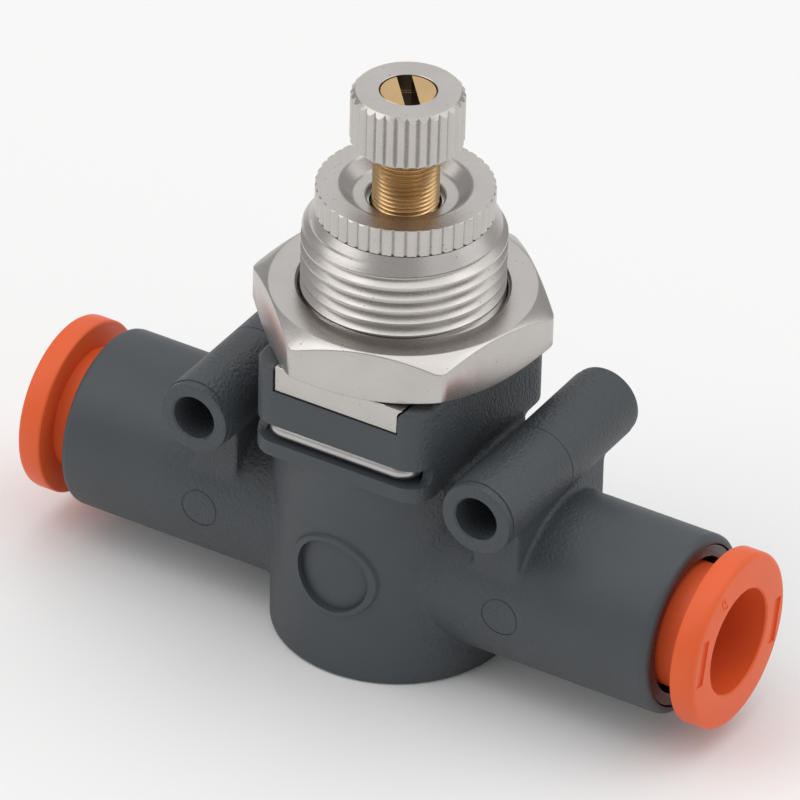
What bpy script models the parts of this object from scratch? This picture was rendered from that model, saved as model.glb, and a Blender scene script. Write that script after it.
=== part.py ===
"""Flow control fitting: an in-line needle valve with a push-in tube socket at each end.

Metres, +Z up. The origin is the centre of the flat round foot. Z is the axis of the adjusting screw,
the two sockets lie along X, and the screw bosses and the housing's window face along Y.
"""

import math

import bmesh
import bpy
from mathutils import Matrix

# Fits
SEAT_GAP = 0.0001
RUNNING_GAP = 0.00015
OVERCUT = 0.001
WELD = 0.000001

# Facets round a full turn: the large round forms, the small ones, and those hidden inside
ROUND = 40
COARSE = 28
HIDDEN = 20

# Tube socket, from the tube outwards
TUBE_RADIUS = 0.004
TUBE_GAP = 0.00005
GRIP_SPACE = 0.0022
BARREL_WALL = 0.00062
BARREL_EDGE = 0.0004
SOCKET_RADIUS = TUBE_RADIUS + GRIP_SPACE
BARREL_RADIUS = SOCKET_RADIUS + BARREL_WALL
BARREL_REACH = 0.0249
PASSAGE_RADIUS = 0.003
PASSAGE_START = 0.008
SOCKET_DEPTH = 0.0118
TUBE_STOP = BARREL_REACH - SOCKET_DEPTH
TUBE_SEAT_DEPTH = 0.0014
SEAL_SHELF = TUBE_STOP + TUBE_SEAT_DEPTH

# Body outside
FOOT_CLEARANCE = 0.00164
BARREL_AXIS = BARREL_RADIUS + FOOT_CLEARANCE
BARREL_TOP = BARREL_AXIS + BARREL_RADIUS
CENTRE_RADIUS = 0.00915
CENTRE_RISE = 0.00202
CENTRE_TOP = BARREL_TOP + CENTRE_RISE
CENTRE_EDGE = 0.0003
BARREL_ROOT = 0.5 * CENTRE_RADIUS
HOUSING_HALF_WIDTH = 0.0073
HOUSING_PROUD = 0.00005
HOUSING_HALF_DEPTH = CENTRE_RADIUS + HOUSING_PROUD
HOUSING_CORNER = 0.002
HOUSING_EDGE = 0.0006
SLOT_RISE = 0.0011
SLOT_HEIGHT = 0.0015
SLOT_FLOOR = CENTRE_TOP + SLOT_RISE
SLOT_TOP = SLOT_FLOOR + SLOT_HEIGHT
WINDOW_RISE = 0.0029
WINDOW_DEPTH = 0.0023
WINDOW_FLOOR = SLOT_TOP + WINDOW_RISE
HOUSING_TOP = WINDOW_FLOOR + WINDOW_DEPTH

# Screw bosses
BOSS_SPACING = 0.02376
BOSS_RADIUS = 0.00285
BOSS_HOLE_RADIUS = 0.0017
BOSS_SINK = 0.00011
BOSS_LIP = 0.00004
BOSS_EDGE = 0.00025
BOSS_AXIS = BARREL_TOP + BOSS_RADIUS - BOSS_SINK
BOSS_REACH = CENTRE_RADIUS + BOSS_LIP
BOSS_WEB_HALF_WIDTH = 0.0019
BOSS_WEB_REACH = 0.0062

# Round emblem field on the body's front
RIM_HEIGHT = 0.00873
RIM_RADIUS = 0.0035
RIM_WIDTH = 0.0005
RIM_PROUD = 0.00018
RIM_ROOT = 0.8 * CENTRE_RADIUS

# Bores inside the body
FLOOR = 0.0016
LOWER_CHAMBER_RADIUS = 0.0044
UPPER_CHAMBER_RADIUS = 0.0056
SEAL_BORE_RADIUS = 0.0062
PORT_RADIUS = 0.0019
LOWER_PORT_DROP = 0.0029
UPPER_PORT_RISE = 0.0031
STEP_RISE = 0.0019
SEAL_FLOOR_RISE = 0.0058
CHAMBER_STEP = BARREL_AXIS + STEP_RISE
SEAL_FLOOR = BARREL_AXIS + SEAL_FLOOR_RISE

# Cartridge
TAB_HALF_WIDTH = 0.00512
TAB_SETBACK = 0.00015
TAB_EDGE = 0.0004
TAB_BOTTOM = WINDOW_FLOOR + SEAT_GAP
TAB_TOP = HOUSING_TOP + SEAT_GAP
WINDOW_HALF_WIDTH = TAB_HALF_WIDTH + SEAT_GAP
THREAD_RADIUS = 0.00744
THREAD_LENGTH = 0.0088
THREAD_PITCH = 0.001
THREAD_DEPTH = 0.00058
THREAD_CREST = 0.00025
LEAD_INSET = 0.00104
LEAD_RADIUS = THREAD_RADIUS - LEAD_INSET
LEAD_HEIGHT = 0.00122
THREAD_TOP = TAB_TOP + THREAD_LENGTH
CARTRIDGE_TOP = THREAD_TOP + LEAD_HEIGHT
CARTRIDGE_RADIUS = SEAL_BORE_RADIUS - RUNNING_GAP
CARTRIDGE_BOTTOM = SEAL_FLOOR + SEAT_GAP
INSERT_BORE_RADIUS = 0.0036
INSERT_BORE_DEPTH = 0.003
INSERT_BORE_TOP = CARTRIDGE_BOTTOM + INSERT_BORE_DEPTH
CLIP_GROOVE_DEPTH = 0.00105
CLIP_GROOVE_RADIUS = CARTRIDGE_RADIUS - CLIP_GROOVE_DEPTH

# O-ring round the cartridge
RING_SECTION = 0.0006
RING_SQUEEZE_GAP = 0.00005
RING_GROOVE_SPARE = 0.0002
RING_RISE = 0.0017
RING_HEIGHT = SEAL_FLOOR + RING_RISE
RING_RADIUS = SEAL_BORE_RADIUS - RING_SQUEEZE_GAP - RING_SECTION
RING_GROOVE_RADIUS = RING_RADIUS - RING_SECTION - RING_SQUEEZE_GAP
RING_GROOVE_HALF = RING_SECTION + RING_GROOVE_SPARE

# Spring wire clip
WIRE_RADIUS = 0.0006
CLIP_BEND = 0.0011
CLIP_LEG_END = 0.0045
CLIP_SETBACK = 0.0009
CLIP_HEIGHT = SLOT_FLOOR + SLOT_HEIGHT / 2
CLIP_LEG = CLIP_GROOVE_RADIUS + RUNNING_GAP + WIRE_RADIUS
CLIP_FRONT = HOUSING_HALF_DEPTH - CLIP_SETBACK
SLOT_DEPTH = CLIP_SETBACK + WIRE_RADIUS + 2 * SEAT_GAP

# Adjusting screw
SCREW_PITCH = 0.00035
TURNS_DOWN = 6
TURNS_UP = 3
TRAVEL_DOWN = TURNS_DOWN * SCREW_PITCH
TRAVEL_UP = TURNS_UP * SCREW_PITCH
SCREW_RADIUS = 0.00243
NECK_RADIUS = 0.002
SCREW_SLOT_WIDTH = 0.0011
SCREW_SLOT_DEPTH = 0.0012
SCREW_SLOT_ANGLE = math.radians(-50)
SCREW_END_DROP = 0.0003
SCREW_BORE_RADIUS = SCREW_RADIUS + RUNNING_GAP
STEM_BORE_RADIUS = 0.00305
STEM_BORE_LENGTH = 0.007
STEM_BORE_TOP = INSERT_BORE_TOP + STEM_BORE_LENGTH
GUIDE_TOP = STEM_BORE_TOP - TRAVEL_UP - RUNNING_GAP
GUIDE_BOTTOM = INSERT_BORE_TOP + TRAVEL_DOWN + RUNNING_GAP

# O-ring on the screw
STEM_RING_SECTION = 0.00047
STEM_RING_RADIUS = STEM_BORE_RADIUS - RING_SQUEEZE_GAP - STEM_RING_SECTION
STEM_GROOVE_RADIUS = STEM_RING_RADIUS - STEM_RING_SECTION - RING_SQUEEZE_GAP
STEM_GROOVE_HALF = STEM_RING_SECTION + 0.5 * RING_GROOVE_SPARE
STEM_RING_HEIGHT = (GUIDE_TOP + GUIDE_BOTTOM) / 2

# Lock ring
LOCK_RING_RADIUS = 0.0065
LOCK_RING_HEIGHT = 0.0021
LOCK_RING_KNURLS = 43
KNURL_DEPTH = 0.0003
KNURL_CREST_START = 0.28
KNURL_CREST_END = 1 - KNURL_CREST_START
DISH_RADIUS = 0.00487
DISH_FLOOR_RADIUS = 0.0034
DISH_DEPTH = 0.001
LOCK_RING_BOTTOM = CARTRIDGE_TOP + SEAT_GAP
LOCK_RING_TOP = LOCK_RING_BOTTOM + LOCK_RING_HEIGHT

# Knob
KNOB_GAP = 0.00367
KNOB_RADIUS = 0.00412
KNOB_HEIGHT = 0.00418
KNOB_KNURLS = 30
KNOB_EDGE = 0.00034
KNOB_BOTTOM = LOCK_RING_TOP + KNOB_GAP
KNOB_TOP = KNOB_BOTTOM + KNOB_HEIGHT

# Panel nut
NUT_BORE_RADIUS = THREAD_RADIUS + RUNNING_GAP
NUT_WALL = 0.00224
NUT_FLAT_RADIUS = NUT_BORE_RADIUS + NUT_WALL
NUT_CORNER_RADIUS = NUT_FLAT_RADIUS / math.cos(math.pi / 6)
NUT_TURN = math.radians(15.5)
NUT_HEIGHT = 0.00375
NUT_CHAMFER_ANGLE = math.radians(30)
NUT_CORNER_CUT = 0.0005
NUT_COUNTERSINK = 0.0002
NUT_BOTTOM = TAB_TOP + SEAT_GAP
NUT_TOP = NUT_BOTTOM + NUT_HEIGHT

# Insert with the orifice, below the cartridge
ORIFICE_RADIUS = 0.0015
ORIFICE_RISE = 0.0025
ORIFICE_TOP = BARREL_AXIS + ORIFICE_RISE
ORIFICE_LENGTH = 0.0024
INSERT_BOTTOM_DROP = 0.0011
INSERT_BOTTOM = BARREL_AXIS - INSERT_BOTTOM_DROP
INSERT_WALL = 0.0012
INSERT_WELL_RADIUS = INSERT_BORE_RADIUS - SEAT_GAP - INSERT_WALL
INSERT_COLUMN_RADIUS = 0.0033
INSERT_COLLAR_RADIUS = 0.0049
INSERT_COLLAR_HEIGHT = 0.0006
INSERT_WINDOW_RADIUS = 0.0009
LIP_GROOVE_RADIUS = 0.0027
LIP_GROOVE_LOW = 0.0008
LIP_GROOVE_HEIGHT = 0.0018
LIP_THICKNESS = 0.0003

# Needle end of the screw
NEEDLE_RADIUS = 0.0017
NEEDLE_TIP_RADIUS = 0.0006
NEEDLE_TAPER = 0.004
SHUT_CLEARANCE = 0.0009
NEEDLE_SHOULDER = ORIFICE_TOP + TRAVEL_DOWN + SHUT_CLEARANCE
NEEDLE_TIP = NEEDLE_SHOULDER - NEEDLE_TAPER

# Parts in each barrel, as distances along X from the centre
SEAL_LENGTH = 0.0019
SEAL_EDGE = 0.2 * SEAL_LENGTH
SEAL_LIP = 0.0001
SUPPORT_LENGTH = 0.0017
SUPPORT_BORE_RADIUS = 0.0044
GRIP_PLATE = 0.00025
GRIP_TEETH = 12
GRIP_TOOTH_GAP = 0.0005
GRIP_DISH = 0.00095
GRIP_RIM_WIDTH = 0.00065
GRIP_BITE = 0.00005
GRIP_TIP_RADIUS = TUBE_RADIUS - GRIP_BITE
GRIP_RIM_RADIUS = SOCKET_RADIUS - SEAT_GAP - GRIP_RIM_WIDTH
SEAL_START = SEAL_SHELF + SEAT_GAP
SUPPORT_START = SEAL_START + SEAL_LENGTH + SEAT_GAP
SUPPORT_END = SUPPORT_START + SUPPORT_LENGTH
GRIP_START = SUPPORT_END + SEAT_GAP
BUSH_START = GRIP_START + GRIP_PLATE + SEAT_GAP
BUSH_RECESS = 0.0006
BUSH_END = BARREL_REACH - BUSH_RECESS

# Release collar
COLLAR_RADIUS = 0.00671
COLLAR_THICKNESS = 0.00196
COLLAR_EDGE = 0.0003
COLLAR_STAND_OFF = 0.00187
COLLAR_WALL = 0.0009
COLLAR_BARB = 0.0005
COLLAR_BARB_LENGTH = 0.0009
COLLAR_TRAVEL = 0.0013
COLLAR_SLIT_WIDTH = 0.0008
COLLAR_SLIT_LENGTH = 0.0032
FACE_SLOT_LENGTH = 0.0036
FACE_SLOT_WIDTH = 0.00045
FACE_SLOT_DEPTH = 0.0004
FACE_SLOT_OFFSET = 0.0054
FACE_SLOT_TURN = math.radians(-12)
COLLAR_BORE_RADIUS = TUBE_RADIUS + TUBE_GAP
SLEEVE_RADIUS = COLLAR_BORE_RADIUS + COLLAR_WALL
COLLAR_REAR = BARREL_REACH + COLLAR_STAND_OFF
COLLAR_FRONT = COLLAR_REAR + COLLAR_THICKNESS
BUSH_BORE_RADIUS = SLEEVE_RADIUS + RUNNING_GAP
BARB_RADIUS = SLEEVE_RADIUS + COLLAR_BARB
GRIP_SLOPE = GRIP_DISH / (GRIP_RIM_RADIUS - GRIP_TIP_RADIUS)
NOSE_STOP = GRIP_START + GRIP_PLATE - GRIP_SLOPE * (GRIP_RIM_RADIUS - SLEEVE_RADIUS)
NOSE = NOSE_STOP + COLLAR_TRAVEL + SEAT_GAP
BARB_END = NOSE + COLLAR_BARB_LENGTH
BUSH_LIP = BARB_END + RUNNING_GAP


def clear_scene():
    for obj in list(bpy.data.objects):
        bpy.data.objects.remove(obj, do_unlink=True)


def new_collection(name):
    collection = bpy.data.collections.new(name)
    bpy.context.scene.collection.children.link(collection)
    return collection


def new_material(name, colour, roughness, metallic=0.0):
    material = bpy.data.materials.new(name)
    material.use_nodes = True
    shader = material.node_tree.nodes["Principled BSDF"]
    shader.inputs["Base Color"].default_value = (*colour, 1.0)
    shader.inputs["Roughness"].default_value = roughness
    shader.inputs["Metallic"].default_value = metallic
    material.diffuse_color = (*colour, 1.0)
    return material


def place(obj, collection):
    for other in list(obj.users_collection):
        other.objects.unlink(obj)
    collection.objects.link(obj)
    return obj


def settled(obj):
    """What the object's modifiers make, as its own mesh: welded, facing out, smooth but for its edges."""
    bpy.context.view_layer.update()
    graph = bpy.context.evaluated_depsgraph_get()
    mesh = bpy.data.meshes.new_from_object(obj.evaluated_get(graph))
    work = bmesh.new()
    work.from_mesh(mesh)
    bmesh.ops.remove_doubles(work, verts=work.verts, dist=WELD)
    bmesh.ops.recalc_face_normals(work, faces=work.faces)
    work.to_mesh(mesh)
    work.free()
    mesh.shade_smooth()
    mesh.set_sharp_from_angle(angle=math.radians(32))
    name = obj.name
    solid = bpy.data.objects.new("settled", mesh)
    solid.matrix_world = obj.matrix_world.copy()
    bpy.data.objects.remove(obj, do_unlink=True)
    solid.name = name
    mesh.name = name
    bpy.context.scene.collection.objects.link(solid)
    return solid


def turned(name, profile, steps=ROUND, hollow=False, placed=Matrix()):
    """A profile of (radius, height) points turned about local Z, down the outer side and up any bore."""
    mesh = bpy.data.meshes.new(name)
    edges = [(i, i + 1) for i in range(len(profile) - 1)]
    if hollow:
        edges.append((len(profile) - 1, 0))
    mesh.from_pydata([(radius, 0.0, height) for radius, height in profile], edges, [])
    obj = bpy.data.objects.new(name, mesh)
    bpy.context.scene.collection.objects.link(obj)
    obj.matrix_world = placed
    screw = obj.modifiers.new("turn", "SCREW")
    screw.steps = steps
    screw.render_steps = steps
    screw.use_merge_vertices = True
    screw.merge_threshold = WELD
    return settled(obj)


def rod(name, radius, start, end, placed=Matrix(), steps=HIDDEN):
    """A plain round bar along local Z."""
    return turned(name, [(0.0, end), (radius, end), (radius, start), (0.0, start)], steps, placed=placed)


def block(name, low, high, turn=Matrix()):
    """A box between two corners, then turned about the world's origin."""
    bpy.ops.mesh.primitive_cube_add(size=1.0)
    obj = bpy.context.object
    obj.name = name
    size = [b - a for a, b in zip(low, high)]
    middle = [(a + b) / 2 for a, b in zip(low, high)]
    obj.data.transform(turn @ Matrix.Translation(middle) @ Matrix.Diagonal((*size, 1.0)))
    return obj


def slab(name, outline, bottom, top):
    """A flat closed outline in XY with straight sides between two heights."""
    curve = bpy.data.curves.new(name, "CURVE")
    curve.dimensions = "2D"
    curve.fill_mode = "BOTH"
    curve.extrude = (top - bottom) / 2
    spline = curve.splines.new("POLY")
    spline.points.add(len(outline) - 1)
    for point, (x, y) in zip(spline.points, outline):
        point.co = (x, y, 0.0, 1.0)
    spline.use_cyclic_u = True
    obj = bpy.data.objects.new(name, curve)
    bpy.context.scene.collection.objects.link(obj)
    obj.location.z = (top + bottom) / 2
    return settled(obj)


def torus(name, radius, section, height):
    bpy.ops.mesh.primitive_torus_add(
        major_radius=radius,
        minor_radius=section,
        major_segments=COARSE,
        minor_segments=8,
        location=(0.0, 0.0, height),
    )
    bpy.context.object.name = name
    return settled(bpy.context.object)


def bevelled(obj, width, segments=2):
    bevel = obj.modifiers.new("edge", "BEVEL")
    bevel.width = width
    bevel.segments = segments
    bevel.limit_method = "ANGLE"
    bevel.angle_limit = math.radians(40)
    return settled(obj)


def combine(piece, tool, operation, cutters):
    """Adds, takes away or keeps the common part of one tool, which stays in the cutters' collection."""
    tool.hide_render = True
    tool.display_type = "WIRE"
    place(tool, cutters)
    boolean = piece.modifiers.new(tool.name, "BOOLEAN")
    boolean.operation = operation
    boolean.solver = "EXACT"
    boolean.object = tool
    return piece


def finish_piece(obj, material, parts):
    solid = settled(obj)
    solid.data.materials.clear()
    solid.data.materials.append(material)
    return place(solid, parts)


def along_x(side):
    """Local Z out along the barrel on one side (1 is +X), from the middle of the body."""
    return Matrix.Translation((0.0, 0.0, BARREL_AXIS)) @ Matrix.Rotation(side * math.pi / 2, 4, "Y")


def along_y(x, height):
    """Local Z out of the body's front, which faces -Y."""
    return Matrix.Translation((x, 0.0, height)) @ Matrix.Rotation(math.pi / 2, 4, "X")


def rounded_rectangle(half_x, half_y, corner, steps=6):
    centres = ((1, 1, 0.0), (-1, 1, 90.0), (-1, -1, 180.0), (1, -1, 270.0))
    points = []
    for sign_x, sign_y, start in centres:
        for i in range(steps + 1):
            angle = math.radians(start + 90.0 * i / steps)
            x = sign_x * (half_x - corner) + corner * math.cos(angle)
            y = sign_y * (half_y - corner) + corner * math.sin(angle)
            points.append((x, y))
    return points


def knurled_outline(radius, count):
    """Flat crests with a narrow V groove between each two."""
    points = []
    pitch = 2 * math.pi / count
    for i in range(count):
        for share, reach in ((0.0, radius - KNURL_DEPTH), (KNURL_CREST_START, radius),
                             (KNURL_CREST_END, radius)):
            angle = (i + share) * pitch
            points.append((reach * math.cos(angle), reach * math.sin(angle)))
    return points


def body_outside(cutters):
    centre = turned("body", [
        (0.0, CENTRE_TOP + OVERCUT / 2),
        (CENTRE_RADIUS, CENTRE_TOP + OVERCUT / 2),
        (CENTRE_RADIUS, CENTRE_EDGE),
        (CENTRE_RADIUS - CENTRE_EDGE, 0.0),
        (0.0, 0.0),
    ])
    ledge = block("centre_ledge", (-CENTRE_RADIUS - OVERCUT, -CENTRE_RADIUS - OVERCUT, CENTRE_TOP),
                  (CENTRE_RADIUS + OVERCUT, CENTRE_RADIUS + OVERCUT, CENTRE_TOP + OVERCUT))
    combine(centre, ledge, "DIFFERENCE", cutters)
    housing = slab("housing", rounded_rectangle(HOUSING_HALF_WIDTH, HOUSING_HALF_DEPTH, HOUSING_CORNER),
                   CENTRE_TOP - HOUSING_EDGE / 2, HOUSING_TOP)
    combine(centre, bevelled(housing, HOUSING_EDGE), "UNION", cutters)
    for side in (1, -1):
        barrel = turned("barrel_outside", [
            (0.0, BARREL_REACH),
            (BARREL_RADIUS - BARREL_EDGE, BARREL_REACH),
            (BARREL_RADIUS, BARREL_REACH - BARREL_EDGE),
            (BARREL_RADIUS, BARREL_ROOT),
            (0.0, BARREL_ROOT),
        ], placed=along_x(side))
        combine(centre, barrel, "UNION", cutters)
        boss_x = side * BOSS_SPACING / 2
        boss = turned("boss_outside", [
            (0.0, BOSS_REACH),
            (BOSS_RADIUS - BOSS_EDGE, BOSS_REACH),
            (BOSS_RADIUS, BOSS_REACH - BOSS_EDGE),
            (BOSS_RADIUS, BOSS_EDGE - BOSS_REACH),
            (BOSS_RADIUS - BOSS_EDGE, -BOSS_REACH),
            (0.0, -BOSS_REACH),
        ], COARSE, placed=along_y(boss_x, BOSS_AXIS))
        combine(centre, boss, "UNION", cutters)
        web = block("boss_web", (boss_x - BOSS_WEB_HALF_WIDTH, -BOSS_WEB_REACH, BARREL_AXIS),
                    (boss_x + BOSS_WEB_HALF_WIDTH, BOSS_WEB_REACH, BOSS_AXIS))
        combine(centre, web, "UNION", cutters)
    return centre


def emblem_rim(cutters):
    """A bare raised ring that follows the round front."""
    rim = turned("emblem_rim", [
        (RIM_RADIUS, CENTRE_RADIUS + OVERCUT),
        (RIM_RADIUS, RIM_ROOT),
        (RIM_RADIUS - RIM_WIDTH, RIM_ROOT),
        (RIM_RADIUS - RIM_WIDTH, CENTRE_RADIUS + OVERCUT),
    ], COARSE, hollow=True, placed=along_y(0.0, RIM_HEIGHT))
    skin = rod("emblem_skin", CENTRE_RADIUS + RIM_PROUD, RIM_HEIGHT - 2 * RIM_RADIUS,
               RIM_HEIGHT + 2 * RIM_RADIUS, steps=ROUND)
    return settled(combine(rim, skin, "INTERSECT", cutters))


def socket_bore(side):
    return turned("socket_bore", [
        (0.0, BARREL_REACH + OVERCUT),
        (SOCKET_RADIUS, BARREL_REACH + OVERCUT),
        (SOCKET_RADIUS, SEAL_SHELF),
        (TUBE_RADIUS + SEAT_GAP, SEAL_SHELF),
        (TUBE_RADIUS + SEAT_GAP, TUBE_STOP),
        (PASSAGE_RADIUS, TUBE_STOP),
        (PASSAGE_RADIUS, PASSAGE_START),
        (0.0, PASSAGE_START),
    ], placed=along_x(side))


def body_void(cutters):
    """All that air or a valve part fills: the stepped valve bore, both sockets and the two offset ports."""
    void = turned("valve_bore", [
        (0.0, HOUSING_TOP + OVERCUT),
        (SEAL_BORE_RADIUS, HOUSING_TOP + OVERCUT),
        (SEAL_BORE_RADIUS, SEAL_FLOOR),
        (UPPER_CHAMBER_RADIUS, SEAL_FLOOR),
        (UPPER_CHAMBER_RADIUS, CHAMBER_STEP),
        (LOWER_CHAMBER_RADIUS, CHAMBER_STEP),
        (LOWER_CHAMBER_RADIUS, FLOOR),
        (0.0, FLOOR),
    ], COARSE)
    reach = PASSAGE_START + OVERCUT
    low = Matrix.Translation((0.0, 0.0, -LOWER_PORT_DROP)) @ along_x(1)
    high = Matrix.Translation((0.0, 0.0, UPPER_PORT_RISE)) @ along_x(-1)
    upper_start = (LOWER_CHAMBER_RADIUS + UPPER_CHAMBER_RADIUS) / 2
    combine(void, rod("lower_port", PORT_RADIUS, LOWER_CHAMBER_RADIUS / 2, reach, low, 16), "UNION", cutters)
    combine(void, rod("upper_port", PORT_RADIUS, upper_start, reach, high, 16), "UNION", cutters)
    for side in (1, -1):
        combine(void, socket_bore(side), "UNION", cutters)
    return settled(void)


def screw_holes(body, cutters):
    reach = BOSS_REACH + OVERCUT
    for side in (1, -1):
        hole = rod("boss_hole", BOSS_HOLE_RADIUS, -reach, reach, along_y(side * BOSS_SPACING / 2, BOSS_AXIS))
        combine(body, hole, "DIFFERENCE", cutters)


def body_slots(body, cutters):
    wide = HOUSING_HALF_WIDTH + OVERCUT
    deep = HOUSING_HALF_DEPTH + OVERCUT
    window = block("window", (-WINDOW_HALF_WIDTH, -deep, WINDOW_FLOOR),
                   (WINDOW_HALF_WIDTH, deep, HOUSING_TOP + OVERCUT))
    combine(body, window, "DIFFERENCE", cutters)
    front_slot = block("clip_front_slot", (-wide, -deep, SLOT_FLOOR),
                       (wide, SLOT_DEPTH - HOUSING_HALF_DEPTH, SLOT_TOP))
    combine(body, front_slot, "DIFFERENCE", cutters)
    reach = WIRE_RADIUS + SEAT_GAP
    for side in (1, -1):
        low, high = sorted((side * (CLIP_LEG - reach), side * (CLIP_LEG + reach)))
        leg_slot = block("clip_leg_slot", (low, OVERCUT / 2 - CLIP_FRONT, SLOT_FLOOR),
                         (high, CLIP_LEG_END + SEAT_GAP, SLOT_TOP))
        combine(body, leg_slot, "DIFFERENCE", cutters)


def make_body(parts, cutters, material):
    body = body_outside(cutters)
    combine(body, emblem_rim(cutters), "UNION", cutters)
    screw_holes(body, cutters)
    body_slots(body, cutters)
    combine(body, body_void(cutters), "DIFFERENCE", cutters)
    finish_piece(body, material, parts)


def thread_grooves():
    """The panel thread's turns as plain V grooves with narrow flat crests, from the top down."""
    points = []
    for i in range(math.floor((THREAD_LENGTH - THREAD_CREST) / THREAD_PITCH)):
        crest_top = THREAD_TOP - i * THREAD_PITCH
        crest_bottom = crest_top - THREAD_CREST
        next_crest = crest_top - THREAD_PITCH
        points.append((THREAD_RADIUS, crest_bottom))
        points.append((THREAD_RADIUS - THREAD_DEPTH, (crest_bottom + next_crest) / 2))
        points.append((THREAD_RADIUS, next_crest))
    return points


def make_cartridge(parts, cutters, material):
    groove_low = SLOT_FLOOR - SEAT_GAP
    groove_high = SLOT_TOP + SEAT_GAP
    cartridge = turned("cartridge", [
        (SCREW_BORE_RADIUS + COLLAR_EDGE, CARTRIDGE_TOP),
        (LEAD_RADIUS, CARTRIDGE_TOP),
        (THREAD_RADIUS, THREAD_TOP),
        *thread_grooves(),
        (THREAD_RADIUS, TAB_TOP),
        (CARTRIDGE_RADIUS, TAB_TOP),
        (CARTRIDGE_RADIUS, groove_high),
        (CLIP_GROOVE_RADIUS, groove_high),
        (CLIP_GROOVE_RADIUS, groove_low),
        (CARTRIDGE_RADIUS, groove_low),
        (CARTRIDGE_RADIUS, RING_HEIGHT + RING_GROOVE_HALF),
        (RING_GROOVE_RADIUS, RING_HEIGHT + RING_GROOVE_HALF),
        (RING_GROOVE_RADIUS, RING_HEIGHT - RING_GROOVE_HALF),
        (CARTRIDGE_RADIUS, RING_HEIGHT - RING_GROOVE_HALF),
        (CARTRIDGE_RADIUS, CARTRIDGE_BOTTOM),
        (INSERT_BORE_RADIUS, CARTRIDGE_BOTTOM),
        (INSERT_BORE_RADIUS, INSERT_BORE_TOP),
        (STEM_BORE_RADIUS, INSERT_BORE_TOP),
        (STEM_BORE_RADIUS, STEM_BORE_TOP),
        (SCREW_BORE_RADIUS, STEM_BORE_TOP),
        (SCREW_BORE_RADIUS, CARTRIDGE_TOP - COLLAR_EDGE),
    ], hollow=True)
    reach = HOUSING_HALF_DEPTH - TAB_SETBACK
    tab = bevelled(block("tab_bar", (-TAB_HALF_WIDTH, -reach, TAB_BOTTOM),
                         (TAB_HALF_WIDTH, reach, TAB_TOP)), TAB_EDGE, 1)
    tab_hole = rod("tab_hole", CARTRIDGE_RADIUS - SEAT_GAP, TAB_BOTTOM - OVERCUT, TAB_TOP + OVERCUT,
                   steps=ROUND)
    tabs = settled(combine(tab, tab_hole, "DIFFERENCE", cutters))
    combine(cartridge, tabs, "UNION", cutters)
    finish_piece(cartridge, material, parts)


def make_seat_insert(parts, cutters, material):
    plug = INSERT_BORE_RADIUS - SEAT_GAP
    groove_low = INSERT_BOTTOM + LIP_GROOVE_LOW
    groove_high = groove_low + LIP_GROOVE_HEIGHT
    collar_top = CARTRIDGE_BOTTOM - SEAT_GAP
    insert = turned("seat_insert", [
        (plug, INSERT_BORE_TOP - SEAT_GAP),
        (plug, collar_top),
        (INSERT_COLLAR_RADIUS, collar_top),
        (INSERT_COLLAR_RADIUS, collar_top - INSERT_COLLAR_HEIGHT),
        (INSERT_COLUMN_RADIUS, collar_top - INSERT_COLLAR_HEIGHT),
        (INSERT_COLUMN_RADIUS, groove_high),
        (LIP_GROOVE_RADIUS, groove_high),
        (LIP_GROOVE_RADIUS, groove_low),
        (INSERT_COLUMN_RADIUS, groove_low),
        (INSERT_COLUMN_RADIUS, INSERT_BOTTOM),
        (ORIFICE_RADIUS + COLLAR_EDGE, INSERT_BOTTOM),
        (ORIFICE_RADIUS, ORIFICE_TOP - ORIFICE_LENGTH),
        (ORIFICE_RADIUS, ORIFICE_TOP),
        (INSERT_WELL_RADIUS, ORIFICE_TOP),
        (INSERT_WELL_RADIUS, INSERT_BORE_TOP - SEAT_GAP),
    ], HIDDEN, hollow=True)
    window_height = (ORIFICE_TOP + collar_top - INSERT_COLLAR_HEIGHT) / 2
    for turn, name in ((0.0, "insert_window_x"), (math.pi / 2, "insert_window_y")):
        across = (Matrix.Translation((0.0, 0.0, window_height)) @ Matrix.Rotation(turn, 4, "Z")
                  @ Matrix.Rotation(math.pi / 2, 4, "Y"))
        reach = INSERT_COLUMN_RADIUS + OVERCUT
        combine(insert, rod(name, INSERT_WINDOW_RADIUS, -reach, reach, across, 16), "DIFFERENCE", cutters)
    finish_piece(insert, material, parts)


def make_check_lip_seal(parts, material):
    """A cup ring whose thin lip opens upwards against the chamber's wall."""
    low = INSERT_BOTTOM + LIP_GROOVE_LOW + SEAT_GAP
    high = low + LIP_GROOVE_HEIGHT - 2 * SEAT_GAP
    inner = LIP_GROOVE_RADIUS + SEAT_GAP
    outer = LOWER_CHAMBER_RADIUS - SEAT_GAP
    middle = (low + high) / 2
    finish_piece(turned("check_lip_seal", [
        (outer, high),
        (outer - LIP_THICKNESS, low),
        (inner, low),
        (inner, high),
        (inner + LIP_THICKNESS, high),
        (inner + 2 * LIP_THICKNESS, middle),
        (outer - 2 * LIP_THICKNESS, middle),
        (outer - LIP_THICKNESS, high),
    ], HIDDEN, hollow=True), material, parts)


def make_seals(parts, material):
    finish_piece(torus("cartridge_seal", RING_RADIUS, RING_SECTION, RING_HEIGHT), material, parts)
    finish_piece(torus("stem_seal", STEM_RING_RADIUS, STEM_RING_SECTION, STEM_RING_HEIGHT), material, parts)


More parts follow.
